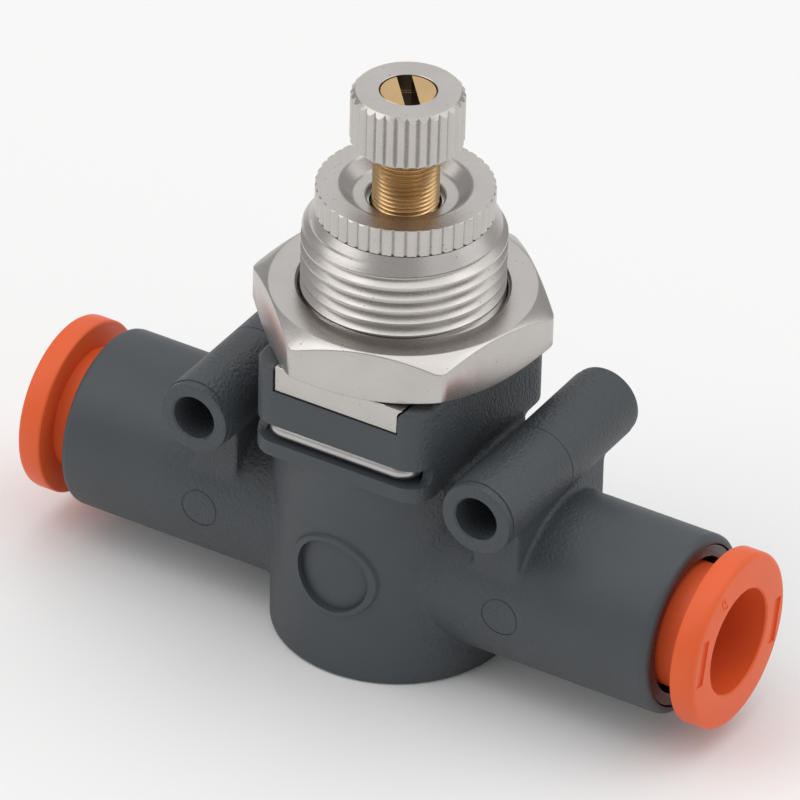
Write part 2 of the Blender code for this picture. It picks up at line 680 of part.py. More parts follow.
def make_retaining_clip(parts, material):
    """A U of round wire: its bridge shows in the front slot and its legs hold the cartridge's groove."""
    bend = [(CLIP_LEG - CLIP_BEND * (1 - math.cos(angle)), -CLIP_FRONT + CLIP_BEND * (1 - math.sin(angle)))
            for angle in (math.pi / 2 * i / 4 for i in range(5))]
    half = [(CLIP_LEG, CLIP_LEG_END)] + bend
    points = half + [(-x, y) for x, y in reversed(half)]
    curve = bpy.data.curves.new("retaining_clip", "CURVE")
    curve.dimensions = "3D"
    curve.bevel_depth = WIRE_RADIUS
    curve.bevel_resolution = 3
    curve.use_fill_caps = True
    spline = curve.splines.new("POLY")
    spline.points.add(len(points) - 1)
    for point, (x, y) in zip(spline.points, points):
        point.co = (x, y, CLIP_HEIGHT, 1.0)
    clip = bpy.data.objects.new("retaining_clip", curve)
    bpy.context.scene.collection.objects.link(clip)
    finish_piece(clip, material, parts)


def make_adjusting_screw(parts, cutters, material):
    screw_end = KNOB_TOP - SCREW_END_DROP
    thread_top = KNOB_BOTTOM - SEAT_GAP
    screw = turned("adjusting_screw", [
        (0.0, screw_end),
        (NECK_RADIUS - KNOB_EDGE / 2, screw_end),
        (NECK_RADIUS, screw_end - KNOB_EDGE / 2),
        (NECK_RADIUS, thread_top),
        (SCREW_RADIUS, thread_top),
        (SCREW_RADIUS, GUIDE_TOP),
        (STEM_BORE_RADIUS - RUNNING_GAP, GUIDE_TOP),
        (STEM_BORE_RADIUS - RUNNING_GAP, STEM_RING_HEIGHT + STEM_GROOVE_HALF),
        (STEM_GROOVE_RADIUS, STEM_RING_HEIGHT + STEM_GROOVE_HALF),
        (STEM_GROOVE_RADIUS, STEM_RING_HEIGHT - STEM_GROOVE_HALF),
        (STEM_BORE_RADIUS - RUNNING_GAP, STEM_RING_HEIGHT - STEM_GROOVE_HALF),
        (STEM_BORE_RADIUS - RUNNING_GAP, GUIDE_BOTTOM),
        (NEEDLE_RADIUS, GUIDE_BOTTOM),
        (NEEDLE_RADIUS, NEEDLE_SHOULDER),
        (NEEDLE_TIP_RADIUS, NEEDLE_TIP),
        (0.0, NEEDLE_TIP),
    ], COARSE)
    half = SCREW_SLOT_WIDTH / 2
    slot = block("driver_slot", (-SCREW_RADIUS - OVERCUT, -half, screw_end - SCREW_SLOT_DEPTH),
                 (SCREW_RADIUS + OVERCUT, half, screw_end + OVERCUT),
                 Matrix.Rotation(SCREW_SLOT_ANGLE, 4, "Z"))
    combine(screw, slot, "DIFFERENCE", cutters)
    finish_piece(screw, material, parts)


def make_lock_ring(parts, cutters, material):
    tall = slab("lock_ring", knurled_outline(LOCK_RING_RADIUS, LOCK_RING_KNURLS),
                LOCK_RING_BOTTOM - OVERCUT, LOCK_RING_TOP + OVERCUT)
    shape = turned("lock_ring_shape", [
        (LOCK_RING_RADIUS - KNURL_DEPTH, LOCK_RING_TOP),
        (LOCK_RING_RADIUS + WELD, LOCK_RING_TOP - KNURL_DEPTH),
        (LOCK_RING_RADIUS + WELD, LOCK_RING_BOTTOM + KNURL_DEPTH),
        (LOCK_RING_RADIUS - KNURL_DEPTH, LOCK_RING_BOTTOM),
        (SCREW_BORE_RADIUS, LOCK_RING_BOTTOM),
        (SCREW_BORE_RADIUS, LOCK_RING_TOP - DISH_DEPTH),
        (DISH_FLOOR_RADIUS, LOCK_RING_TOP - DISH_DEPTH),
        (DISH_RADIUS, LOCK_RING_TOP),
    ], hollow=True)
    combine(tall, shape, "INTERSECT", cutters)
    finish_piece(tall, material, parts)


def make_knob(parts, cutters, material):
    tall = slab("knob", knurled_outline(KNOB_RADIUS, KNOB_KNURLS), KNOB_BOTTOM - OVERCUT,
                KNOB_TOP + OVERCUT)
    shape = turned("knob_shape", [
        (KNOB_RADIUS - KNOB_EDGE, KNOB_TOP),
        (KNOB_RADIUS + WELD, KNOB_TOP - KNOB_EDGE),
        (KNOB_RADIUS + WELD, KNOB_BOTTOM + KNOB_EDGE),
        (KNOB_RADIUS - KNOB_EDGE, KNOB_BOTTOM),
        (NECK_RADIUS + SEAT_GAP, KNOB_BOTTOM),
        (NECK_RADIUS + SEAT_GAP, KNOB_TOP),
    ], COARSE, hollow=True)
    combine(tall, shape, "INTERSECT", cutters)
    finish_piece(tall, material, parts)


def make_panel_nut(parts, cutters, material):
    nut = turned("panel_nut", [(0.0, NUT_TOP + OVERCUT), (NUT_CORNER_RADIUS, NUT_TOP + OVERCUT),
                               (NUT_CORNER_RADIUS, NUT_BOTTOM - OVERCUT), (0.0, NUT_BOTTOM - OVERCUT)],
                 6, placed=Matrix.Rotation(NUT_TURN, 4, "Z"))
    nut = bevelled(nut, NUT_CORNER_CUT, 1)
    chamfer_end = NUT_CORNER_RADIUS + OVERCUT
    chamfer_drop = (chamfer_end - NUT_FLAT_RADIUS) * math.tan(NUT_CHAMFER_ANGLE)
    shape = turned("panel_nut_shape", [
        (NUT_FLAT_RADIUS, NUT_TOP),
        (chamfer_end, NUT_TOP - chamfer_drop),
        (chamfer_end, NUT_BOTTOM + chamfer_drop),
        (NUT_FLAT_RADIUS, NUT_BOTTOM),
        (NUT_BORE_RADIUS + NUT_COUNTERSINK, NUT_BOTTOM),
        (NUT_BORE_RADIUS, NUT_BOTTOM + NUT_COUNTERSINK),
        (NUT_BORE_RADIUS, NUT_TOP - NUT_COUNTERSINK),
        (NUT_BORE_RADIUS + NUT_COUNTERSINK, NUT_TOP),
    ], hollow=True)
    combine(nut, shape, "INTERSECT", cutters)
    finish_piece(nut, material, parts)


def make_release_collar(name, side, parts, cutters, material):
    placed = along_x(side)
    collar = turned(name, [
        (COLLAR_RADIUS - COLLAR_EDGE, COLLAR_FRONT),
        (COLLAR_RADIUS, COLLAR_FRONT - COLLAR_EDGE),
        (COLLAR_RADIUS, COLLAR_REAR + COLLAR_EDGE / 2),
        (COLLAR_RADIUS - COLLAR_EDGE / 2, COLLAR_REAR),
        (SLEEVE_RADIUS, COLLAR_REAR),
        (SLEEVE_RADIUS, BARB_END),
        (BARB_RADIUS, BARB_END),
        (SLEEVE_RADIUS, NOSE),
        (COLLAR_BORE_RADIUS, NOSE),
        (COLLAR_BORE_RADIUS, COLLAR_FRONT - COLLAR_EDGE),
        (COLLAR_BORE_RADIUS + COLLAR_EDGE, COLLAR_FRONT),
    ], COARSE, hollow=True, placed=placed)
    for turn in (45.0, 135.0):
        half = COLLAR_SLIT_WIDTH / 2
        slit = block(name + "_slit", (-2 * SLEEVE_RADIUS, -half, NOSE - OVERCUT),
                     (2 * SLEEVE_RADIUS, half, NOSE + COLLAR_SLIT_LENGTH),
                     placed @ Matrix.Rotation(math.radians(turn), 4, "Z"))
        combine(collar, slit, "DIFFERENCE", cutters)
    for turn in (0.0, math.pi):
        low = FACE_SLOT_OFFSET - FACE_SLOT_WIDTH / 2
        face_slot = block(name + "_face_slot", (-FACE_SLOT_LENGTH / 2, low, COLLAR_FRONT - FACE_SLOT_DEPTH),
                          (FACE_SLOT_LENGTH / 2, low + FACE_SLOT_WIDTH, COLLAR_FRONT + OVERCUT),
                          placed @ Matrix.Rotation(turn + FACE_SLOT_TURN, 4, "Z"))
        combine(collar, face_slot, "DIFFERENCE", cutters)
    finish_piece(collar, material, parts)


def make_retainer_bush(name, side, parts, material):
    outer = SOCKET_RADIUS - SEAT_GAP
    recess = BARB_RADIUS + RUNNING_GAP
    finish_piece(turned(name, [
        (outer - COLLAR_EDGE, BUSH_END),
        (outer, BUSH_END - COLLAR_EDGE),
        (outer, BUSH_START),
        (recess, BUSH_START),
        (recess, BUSH_LIP),
        (BUSH_BORE_RADIUS, BUSH_LIP),
        (BUSH_BORE_RADIUS, BUSH_END),
    ], COARSE, hollow=True, placed=along_x(side)), material, parts)


def make_grip_ring(name, side, parts, cutters, material):
    """A thin dished washer whose teeth lean in towards the tube stop."""
    outer = SOCKET_RADIUS - SEAT_GAP
    rim = GRIP_RIM_RADIUS
    low = GRIP_START
    grip = turned(name, [
        (outer, low + GRIP_PLATE),
        (outer, low),
        (rim, low),
        (GRIP_TIP_RADIUS, low - GRIP_DISH),
        (GRIP_TIP_RADIUS, low - GRIP_DISH + GRIP_PLATE),
        (rim, low + GRIP_PLATE),
    ], HIDDEN, hollow=True, placed=along_x(side))
    for i in range(GRIP_TEETH // 2):
        half = GRIP_TOOTH_GAP / 2
        turn = Matrix.Rotation((i + 0.5) * 2 * math.pi / GRIP_TEETH, 4, "Z")
        gap = block(name + "_gap", (-rim, -half, low - 2 * GRIP_DISH), (rim, half, low + 2 * GRIP_PLATE),
                    along_x(side) @ turn)
        combine(grip, gap, "DIFFERENCE", cutters)
    finish_piece(grip, material, parts)


def make_support_ring(name, side, parts, material):
    outer = SOCKET_RADIUS - SEAT_GAP
    rim = GRIP_RIM_RADIUS
    dish = GRIP_SLOPE * (rim - SUPPORT_BORE_RADIUS)
    finish_piece(turned(name, [
        (outer, SUPPORT_END),
        (outer, SUPPORT_START),
        (SUPPORT_BORE_RADIUS, SUPPORT_START),
        (SUPPORT_BORE_RADIUS, SUPPORT_END - dish - SEAT_GAP),
        (rim + SEAT_GAP, SUPPORT_END),
    ], HIDDEN, hollow=True, placed=along_x(side)), material, parts)


def make_tube_seal(name, side, parts, material):
    outer = SOCKET_RADIUS - SEAT_GAP
    inner = TUBE_RADIUS - SEAL_LIP
    waist = TUBE_RADIUS + SEAL_LIP
    end = SEAL_START + SEAL_LENGTH
    finish_piece(turned(name, [
        (outer - SEAL_EDGE, end),
        (outer, end - SEAL_EDGE),
        (outer, SEAL_START + SEAL_EDGE),
        (outer - SEAL_EDGE, SEAL_START),
        (waist, SEAL_START),
        (inner, SEAL_START + SEAL_EDGE),
        (waist, (SEAL_START + end) / 2),
        (inner, end - SEAL_EDGE),
        (waist, end),
    ], HIDDEN, hollow=True, placed=along_x(side)), material, parts)


def main():
    clear_scene()
    parts = new_collection("flow_control_fitting")
    cutters = new_collection("cutters")
    cutters.hide_render = True

    grey = new_material("grey_moulding", (0.075, 0.085, 0.095), 0.5)
    nickel = new_material("nickel_plate", (0.72, 0.70, 0.67), 0.28, 1.0)
    brass = new_material("brass", (0.66, 0.48, 0.26), 0.3, 1.0)
    steel = new_material("spring_steel", (0.5, 0.5, 0.5), 0.3, 1.0)
    orange = new_material("orange_moulding", (0.78, 0.13, 0.05), 0.42)
    brown = new_material("brown_moulding", (0.07, 0.03, 0.028), 0.3)
    white = new_material("white_moulding", (0.75, 0.74, 0.7), 0.45)
    rubber = new_material("black_rubber", (0.02, 0.02, 0.022), 0.65)

    make_body(parts, cutters, grey)
    make_cartridge(parts, cutters, nickel)
    make_seat_insert(parts, cutters, white)
    make_check_lip_seal(parts, rubber)
    make_seals(parts, rubber)
    make_retaining_clip(parts, steel)
    make_adjusting_screw(parts, cutters, brass)
    make_lock_ring(parts, cutters, nickel)
    make_knob(parts, cutters, nickel)
    make_panel_nut(parts, cutters, nickel)
    for name, side in (("left", -1), ("right", 1)):
        make_release_collar(name + "_release_collar", side, parts, cutters, orange)
        make_retainer_bush(name + "_retainer_bush", side, parts, brown)
        make_grip_ring(name + "_grip_ring", side, parts, cutters, steel)
        make_support_ring(name + "_support_ring", side, parts, white)
        make_tube_seal(name + "_tube_seal", side, parts, rubber)


main()
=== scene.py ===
import math

import bmesh
import bpy
from mathutils import Matrix, Vector


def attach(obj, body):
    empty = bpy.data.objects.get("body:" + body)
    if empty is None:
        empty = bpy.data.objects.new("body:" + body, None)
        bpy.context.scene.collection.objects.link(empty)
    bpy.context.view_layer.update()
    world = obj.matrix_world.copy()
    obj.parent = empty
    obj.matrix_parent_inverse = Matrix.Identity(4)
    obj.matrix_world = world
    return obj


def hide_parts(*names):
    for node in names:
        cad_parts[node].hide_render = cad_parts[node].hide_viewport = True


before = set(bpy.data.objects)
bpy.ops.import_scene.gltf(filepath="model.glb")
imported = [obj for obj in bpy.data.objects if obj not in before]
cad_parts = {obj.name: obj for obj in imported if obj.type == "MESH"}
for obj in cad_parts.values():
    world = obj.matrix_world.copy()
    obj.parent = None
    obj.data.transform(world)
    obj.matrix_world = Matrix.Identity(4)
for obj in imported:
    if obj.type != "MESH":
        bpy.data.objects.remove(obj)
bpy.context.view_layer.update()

# Lengths are in millimetres, and a finished piece is scaled to metres.
# The materials' looks count in metres instead.
mm = 0.001
overcut = 1.0   # how far a cutting tool runs past the faces that it cuts
fullTurn = 2 * math.pi


# Mesh helpers

def meshObject(name, verts, faces):
    mesh = bpy.data.meshes.new(name)
    mesh.from_pydata(verts, [], faces)
    obj = bpy.data.objects.new(name, mesh)
    bpy.context.scene.collection.objects.link(obj)
    return cleaned(obj)


def cleaned(obj, distance=0.00005):
    work = bmesh.new()
    work.from_mesh(obj.data)
    bmesh.ops.remove_doubles(work, verts=work.verts, dist=distance)
    bmesh.ops.dissolve_degenerate(work, edges=work.edges, dist=distance)
    bmesh.ops.recalc_face_normals(work, faces=work.faces)
    work.to_mesh(obj.data)
    work.free()
    return obj


def fillHoles(obj):
    work = bmesh.new()
    work.from_mesh(obj.data)
    openEdges = [edge for edge in work.edges if edge.is_boundary]
    bmesh.ops.holes_fill(work, edges=openEdges, sides=0)
    bmesh.ops.recalc_face_normals(work, faces=work.faces)
    work.to_mesh(obj.data)
    work.free()


def evaluatedMesh(obj):
    bpy.context.view_layer.update()
    graph = bpy.context.evaluated_depsgraph_get()
    return bpy.data.meshes.new_from_object(obj.evaluated_get(graph))


def baked(obj):
    # what the modifiers make becomes the object's own mesh
    mesh = evaluatedMesh(obj)
    obj.modifiers.clear()
    obj.data = mesh
    return obj


def moved(obj, matrix):
    obj.data.transform(matrix)
    return obj


def joined(name, objects):
    # several closed shells in one mesh, not yet merged
    work = bmesh.new()
    for obj in objects:
        work.from_mesh(obj.data)
        bpy.data.objects.remove(obj, do_unlink=True)
    mesh = bpy.data.meshes.new(name)
    work.to_mesh(mesh)
    work.free()
    whole = bpy.data.objects.new(name, mesh)
    bpy.context.scene.collection.objects.link(whole)
    return whole


def combined(piece, tool, operation):
    boolean = piece.modifiers.new("combine", "BOOLEAN")
    boolean.operation = operation
    boolean.solver = "EXACT"
    boolean.object = tool
    baked(piece)
    bpy.data.objects.remove(tool, do_unlink=True)
    return piece


def bevelled(obj, width, segments=3, angle=40):
    bevel = obj.modifiers.new("edge", "BEVEL")
    bevel.width = width
    bevel.segments = segments
    bevel.limit_method = "ANGLE"
    bevel.angle_limit = math.radians(angle)
    return baked(obj)


def box(name, low, high):
    corners = [(x, y, z) for x in (low[0], high[0]) for y in (low[1], high[1]) for z in (low[2], high[2])]
    faces = [(0, 1, 3, 2), (4, 6, 7, 5), (0, 4, 5, 1), (2, 3, 7, 6), (0, 2, 6, 4), (1, 5, 7, 3)]
    return meshObject(name, corners, faces)


def prism(name, outline, bottom, top):
    count = len(outline)
    verts = [(x, y, bottom) for x, y in outline] + [(x, y, top) for x, y in outline]
    faces = [tuple(reversed(range(count))), tuple(range(count, 2 * count))]
    faces += [(i, (i + 1) % count, count + (i + 1) % count, count + i) for i in range(count)]
    return meshObject(name, verts, faces)


def columnsMesh(name, columns, looped, shift=0, shiftedRows=0):
    # columns of points round Z. On the last join, the first shiftedRows rows climb by shift rows.
    count = len(columns)
    rows = len(columns[0])
    verts = [point for column in columns for point in column]
    last = rows if looped else rows - 1

    def corner(column, row):
        row %= rows
        if column == count:
            if row < shiftedRows:
                row = min(row + shift, shiftedRows - 1)
            return row
        return column * rows + row

    faces = []
    for i in range(count):
        for j in range(last):
            face = [corner(i, j), corner(i + 1, j), corner(i + 1, j + 1), corner(i, j + 1)]
            face = list(dict.fromkeys(face))
            if len(face) > 2:
                faces.append(tuple(face))
    return meshObject(name, verts, faces)


def lathe(name, profile, steps=128, hollow=False):
    # a profile of (radius, height) turned about Z
    columns = []
    for i in range(steps):
        angle = fullTurn * i / steps
        columns.append([(r * math.cos(angle), r * math.sin(angle), z) for r, z in profile])
    return columnsMesh(name, columns, hollow)


def rounded(profile, index, radius, steps=4):
    # the profile with one corner replaced by an arc
    before, corner, after = (Vector(profile[index + k]) for k in (-1, 0, 1))
    toBefore = (before - corner).normalized()
    toAfter = (after - corner).normalized()
    half = toBefore.angle(toAfter) / 2
    reach = radius / math.tan(half)
    centre = corner + (toBefore + toAfter).normalized() * (radius / math.sin(half))
    start = corner + toBefore * reach - centre
    end = corner + toAfter * reach - centre
    arc = []
    for k in range(steps + 1):
        arc.append(tuple(centre + start.slerp(end, k / steps).normalized() * radius))
    return profile[:index] + arc + profile[index + 1:]


def softened(profile, corners, steps=4):
    # corners is {index in the plain profile: radius}
    for index in sorted(corners, reverse=True):
        profile = rounded(profile, index, corners[index], steps)
    return profile


def roundedRectangle(halfX, halfY, corner, steps=12):
    points = []
    for signX, signY, start in ((1, 1, 0), (-1, 1, 90), (-1, -1, 180), (1, -1, 270)):
        for i in range(steps + 1):
            angle = math.radians(start + 90 * i / steps)
            points.append((signX * (halfX - corner) + corner * math.cos(angle),
                           signY * (halfY - corner) + corner * math.sin(angle)))
    return points


def alongX(side, height):
    return Matrix.Translation((0, 0, height)) @ Matrix.Rotation(side * math.pi / 2, 4, "Y")


def alongY(x, height):
    return Matrix.Translation((x, 0, height)) @ Matrix.Rotation(math.pi / 2, 4, "X")


def finishPiece(obj, material, body, replaced=(), angle=32):
    moved(obj, Matrix.Scale(mm, 4))
    obj.data.materials.clear()
    obj.data.materials.append(material)
    obj.data.shade_smooth()
    obj.data.set_sharp_from_angle(angle=math.radians(angle))
    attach(obj, body)
    if replaced:
        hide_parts(*replaced)
    return obj


# Materials

def newMaterial(name):
    material = bpy.data.materials.new(name)
    material.use_nodes = True
    tree = material.node_tree
    return material, tree, tree.nodes["Principled BSDF"]


def addNode(tree, kind, **values):
    node = tree.nodes.new(kind)
    for key, value in values.items():
        setattr(node, key, value)
    return node


def noise(tree, place, scale, detail=3.0, roughness=0.5):
    node = addNode(tree, "ShaderNodeTexNoise")
    node.inputs["Scale"].default_value = scale
    node.inputs["Detail"].default_value = detail
    node.inputs["Roughness"].default_value = roughness
    tree.links.new(place, node.inputs["Vector"])
    return node.outputs["Fac"]


def ramp(tree, value, stops):
    node = addNode(tree, "ShaderNodeValToRGB")
    elements = node.color_ramp.elements
    while len(elements) < len(stops):
        elements.new(0.5)
    for element, (position, colour) in zip(elements, stops):
        element.position = position
        element.color = (*colour, 1.0)
    tree.links.new(value, node.inputs["Fac"])
    return node.outputs["Color"]


def ranged(tree, value, fromLow, fromHigh, toLow, toHigh):
    node = addNode(tree, "ShaderNodeMapRange")
    limits = {"From Min": fromLow, "From Max": fromHigh, "To Min": toLow, "To Max": toHigh}
    for key, number in limits.items():
        node.inputs[key].default_value = number
    tree.links.new(value, node.inputs["Value"])
    return node.outputs["Result"]


def calculated(tree, operation, first, second):
    node = addNode(tree, "ShaderNodeMath", operation=operation)
    for socket, value in zip(node.inputs, (first, second)):
        if isinstance(value, (int, float)):
            socket.default_value = value
        else:
            tree.links.new(value, socket)
    return node.outputs["Value"]


def bump(tree, height, distance, strength=1.0, after=None):
    node = addNode(tree, "ShaderNodeBump")
    node.inputs["Distance"].default_value = distance
    if isinstance(strength, (int, float)):
        node.inputs["Strength"].default_value = strength
    else:
        tree.links.new(strength, node.inputs["Strength"])
    tree.links.new(height, node.inputs["Height"])
    if after is not None:
        tree.links.new(after, node.inputs["Normal"])
    return node.outputs["Normal"]


def shade(colour, factor):
    return tuple(channel * factor for channel in colour)


coatRoughness = 0.15


def mouldingMaterial(name, look):
    # satin moulded plastic: faint mottle, fine grain, and a coarser leathery grain where asked
    material, tree, shader = newMaterial(name)
    place = addNode(tree, "ShaderNodeTexCoord").outputs["Object"]
    colour = look["colour"]
    mottle = noise(tree, place, look["mottleScale"], 4.0)
    tree.links.new(ramp(tree, mottle, [(0.3, shade(colour, 1 - look["mottle"])),
                                       (0.7, shade(colour, 1 + look["mottle"]))]),
                   shader.inputs["Base Color"])
    grain = noise(tree, place, look["grainScale"], 2.0, 0.6)
    tree.links.new(ranged(tree, grain, 0.3, 0.7, look["roughness"] - look["roughnessSpread"],
                          look["roughness"] + look["roughnessSpread"]), shader.inputs["Roughness"])
    normal = bump(tree, grain, look["grainDepth"])
    if look.get("pebbleDepth"):
        pebble = noise(tree, place, look["pebbleScale"], 1.0, 0.4)
        parts = addNode(tree, "ShaderNodeSeparateXYZ")
        tree.links.new(place, parts.inputs["Vector"])
        reach = calculated(tree, "ABSOLUTE", parts.outputs["X"], 0.0)
        outer = ranged(tree, reach, look["pebbleFull"], look["pebbleGone"], 1.0, look["pebbleLeast"])
        inner = ranged(tree, reach, look["pebbleNone"], look["pebbleBegun"], look["pebbleLeast"], 1.0)
        share = calculated(tree, "MULTIPLY", outer, inner)
        normal = bump(tree, pebble, look["pebbleDepth"], share, normal)
    tree.links.new(normal, shader.inputs["Normal"])
    shader.inputs["Specular IOR Level"].default_value = look["specular"]
    shader.inputs["Coat Weight"].default_value = look.get("coat", 0.0)
    shader.inputs["Coat Roughness"].default_value = coatRoughness
    return material


def recessShadeShare(tree, place, look):
    # where painted shade goes: 1 on the walls and floor of a slot in the top, 0 elsewhere
    parts = addNode(tree, "ShaderNodeSeparateXYZ")
    tree.links.new(place, parts.inputs["Vector"])
    flat = addNode(tree, "ShaderNodeVectorMath", operation="MULTIPLY")
    flat.inputs[1].default_value = (1.0, 1.0, 0.0)
    tree.links.new(place, flat.inputs[0])
    length = addNode(tree, "ShaderNodeVectorMath", operation="LENGTH")
    tree.links.new(flat.outputs["Vector"], length.inputs[0])
    radius, top, floor = look["recessRadius"], look["recessTop"], look["recessFloor"]
    inside = ranged(tree, length.outputs["Value"], radius, radius + look["recessBlur"], 1.0, 0.0)
    below = ranged(tree, parts.outputs["Z"], top - look["recessFade"], top, 1.0, 0.0)
    above = ranged(tree, parts.outputs["Z"], floor - look["recessFade"], floor, 0.0, 1.0)
    return calculated(tree, "MULTIPLY", inside, calculated(tree, "MULTIPLY", below, above))


# what all the metals share: how pits fade and gather, how turned rings wander, how long streaks are
metalGrain = dict(pitFade=1.6, pitGathering=0.23, pitsBegun=0.58, pitsFull=0.65, ringDistortion=1.2,
                  streakSquash=0.03)


def metalMaterial(name, look):
    # turned and plated metal: rings about Z on its faces, soft patches in the polish, small pits, and painted
    # shade in a slot in the top where asked
    material, tree, shader = newMaterial(name)
    place = addNode(tree, "ShaderNodeTexCoord").outputs["Object"]
    patches = noise(tree, place, look["patchScale"], 4.0)
    colour = ramp(tree, patches, [(0.3, shade(look["colour"], 1 - look["patch"])),
                                  (0.7, shade(look["colour"], 1 + look["patch"]))])
    pits = addNode(tree, "ShaderNodeTexVoronoi", feature="F1")
    pits.inputs["Scale"].default_value = look["pitScale"]
    tree.links.new(place, pits.inputs["Vector"])
    pitRim = look["pitSize"] * metalGrain["pitFade"]
    pitFill = ranged(tree, pits.outputs["Distance"], look["pitSize"], pitRim, 0.0, 1.0)
    here = noise(tree, place, look["pitScale"] * metalGrain["pitGathering"], 1.0)
    bare = ranged(tree, here, metalGrain["pitsBegun"], metalGrain["pitsFull"], 1.0, 0.0)
    kept = calculated(tree, "MAXIMUM", pitFill, bare)
    mix = addNode(tree, "ShaderNodeMix", data_type="RGBA")
    tree.links.new(kept, mix.inputs["Factor"])
    mix.inputs["A"].default_value = (*look["pitColour"], 1.0)
    tree.links.new(colour, mix.inputs["B"])
    # painted shade: the walls and floor of the slot in the top are darkened to stand in for shadow
    if look.get("recessRadius"):
        slotShade = addNode(tree, "ShaderNodeMix", data_type="RGBA")
        tree.links.new(recessShadeShare(tree, place, look), slotShade.inputs["Factor"])
        tree.links.new(mix.outputs["Result"], slotShade.inputs["A"])
        slotShade.inputs["B"].default_value = (*look["recessShadeColour"], 1.0)
        mix = slotShade
    tree.links.new(mix.outputs["Result"], shader.inputs["Base Color"])
    shader.inputs["Metallic"].default_value = 1.0
    fine = noise(tree, place, look["fineScale"], 3.0, 0.6)
    tree.links.new(ranged(tree, fine, 0.3, 0.7, look["roughness"] - look["roughnessSpread"],
                          look["roughness"] + look["roughnessSpread"]), shader.inputs["Roughness"])
    rings = addNode(tree, "ShaderNodeTexWave", wave_type="RINGS", rings_direction="Z", wave_profile="SIN")
    rings.inputs["Scale"].default_value = look["ringScale"]
    rings.inputs["Distortion"].default_value = metalGrain["ringDistortion"]
    rings.inputs["Detail"].default_value = 2.0
    tree.links.new(place, rings.inputs["Vector"])
    normal = bump(tree, rings.outputs["Fac"], look["ringDepth"])
    if look.get("streakDepth"):
        # upright polishing streaks, which only show on upright faces
        tall = addNode(tree, "ShaderNodeVectorMath", operation="MULTIPLY")
        tall.inputs[1].default_value = (1.0, 1.0, metalGrain["streakSquash"])
        tree.links.new(place, tall.inputs[0])
        streaks = noise(tree, tall.outputs["Vector"], look["streakScale"], 2.0)
        normal = bump(tree, streaks, look["streakDepth"], 1.0, normal)
    normal = bump(tree, fine, look["fineDepth"], 1.0, normal)
    normal = bump(tree, pitFill, look["pitDepth"], calculated(tree, "SUBTRACT", 1.0, bare), normal)
    tree.links.new(normal, shader.inputs["Normal"])
    return material


greyLook = dict(colour=(0.057, 0.0655, 0.073), mottle=0.05, mottleScale=260.0, grainScale=9000.0,
                grainDepth=0.000004, roughness=0.5, roughnessSpread=0.05, specular=0.5,
                pebbleScale=4200.0, pebbleDepth=0.00011, pebbleNone=0.0045, pebbleBegun=0.0072,
                pebbleFull=0.0125, pebbleGone=0.0185, pebbleLeast=0.1)
orangeLook = dict(colour=(0.83, 0.128, 0.034), mottle=0.035, mottleScale=300.0, grainScale=7000.0,
                  grainDepth=0.000004, roughness=0.42, roughnessSpread=0.05, specular=0.3)
brownLook = dict(colour=(0.06, 0.026, 0.024), mottle=0.1, mottleScale=400.0, grainScale=6000.0,
                 grainDepth=0.000003, roughness=0.3, roughnessSpread=0.05, specular=0.4, coat=0.1)
whiteLook = dict(colour=(0.72, 0.71, 0.67), mottle=0.02, mottleScale=300.0, grainScale=7000.0,
                 grainDepth=0.000005, roughness=0.5, roughnessSpread=0.05, specular=0.5)
rubberLook = dict(colour=(0.018, 0.018, 0.02), mottle=0.1, mottleScale=500.0, grainScale=8000.0,
                  grainDepth=0.00001, roughness=0.65, roughnessSpread=0.06, specular=0.4)
nickelLook = dict(colour=(0.55, 0.524, 0.502), patch=0.04, patchScale=320.0, pitColour=(0.30, 0.28, 0.27),
                  pitScale=2300.0, pitSize=0.10, pitDepth=0.000008, fineScale=9000.0, fineDepth=0.0000005,
                  roughness=0.3, roughnessSpread=0.04, ringScale=1400.0, ringDepth=0.0000006,
                  streakScale=6000.0, streakDepth=0.0000012)
# the recess values paint shade into the walls and floor of the screw's driver slot
brassLook = dict(colour=(0.63, 0.42, 0.212), patch=0.05, patchScale=500.0, pitColour=(0.36, 0.24, 0.12),
                 pitScale=2600.0, pitSize=0.08, pitDepth=0.000006, fineScale=9000.0, fineDepth=0.0000004,
                 roughness=0.24, roughnessSpread=0.04, ringScale=1500.0, ringDepth=0.0000005,
                 recessRadius=0.0019, recessTop=0.0451, recessFloor=0.0437, recessBlur=0.00003,
                 recessFade=0.0001, recessShadeColour=(0.10, 0.068, 0.035))
steelLook = dict(colour=(0.52, 0.51, 0.50), patch=0.05, patchScale=500.0, pitColour=(0.3, 0.3, 0.3),
                 pitScale=2500.0, pitSize=0.08, pitDepth=0.000006, fineScale=7000.0, fineDepth=0.0000015,
                 roughness=0.33, roughnessSpread=0.06, ringScale=700.0, ringDepth=0.0)

greyMoulding = mouldingMaterial("greyMoulding", greyLook)
orangeMoulding = mouldingMaterial("orangeMoulding", orangeLook)
brownMoulding = mouldingMaterial("brownMoulding", brownLook)
whiteMoulding = mouldingMaterial("whiteMoulding", whiteLook)
blackRubber = mouldingMaterial("blackRubber", rubberLook)
nickelPlate = metalMaterial("nickelPlate", nickelLook)
bareBrass = metalMaterial("bareBrass", brassLook)
springSteel = metalMaterial("springSteel", steelLook)
print("materials made")


# Body

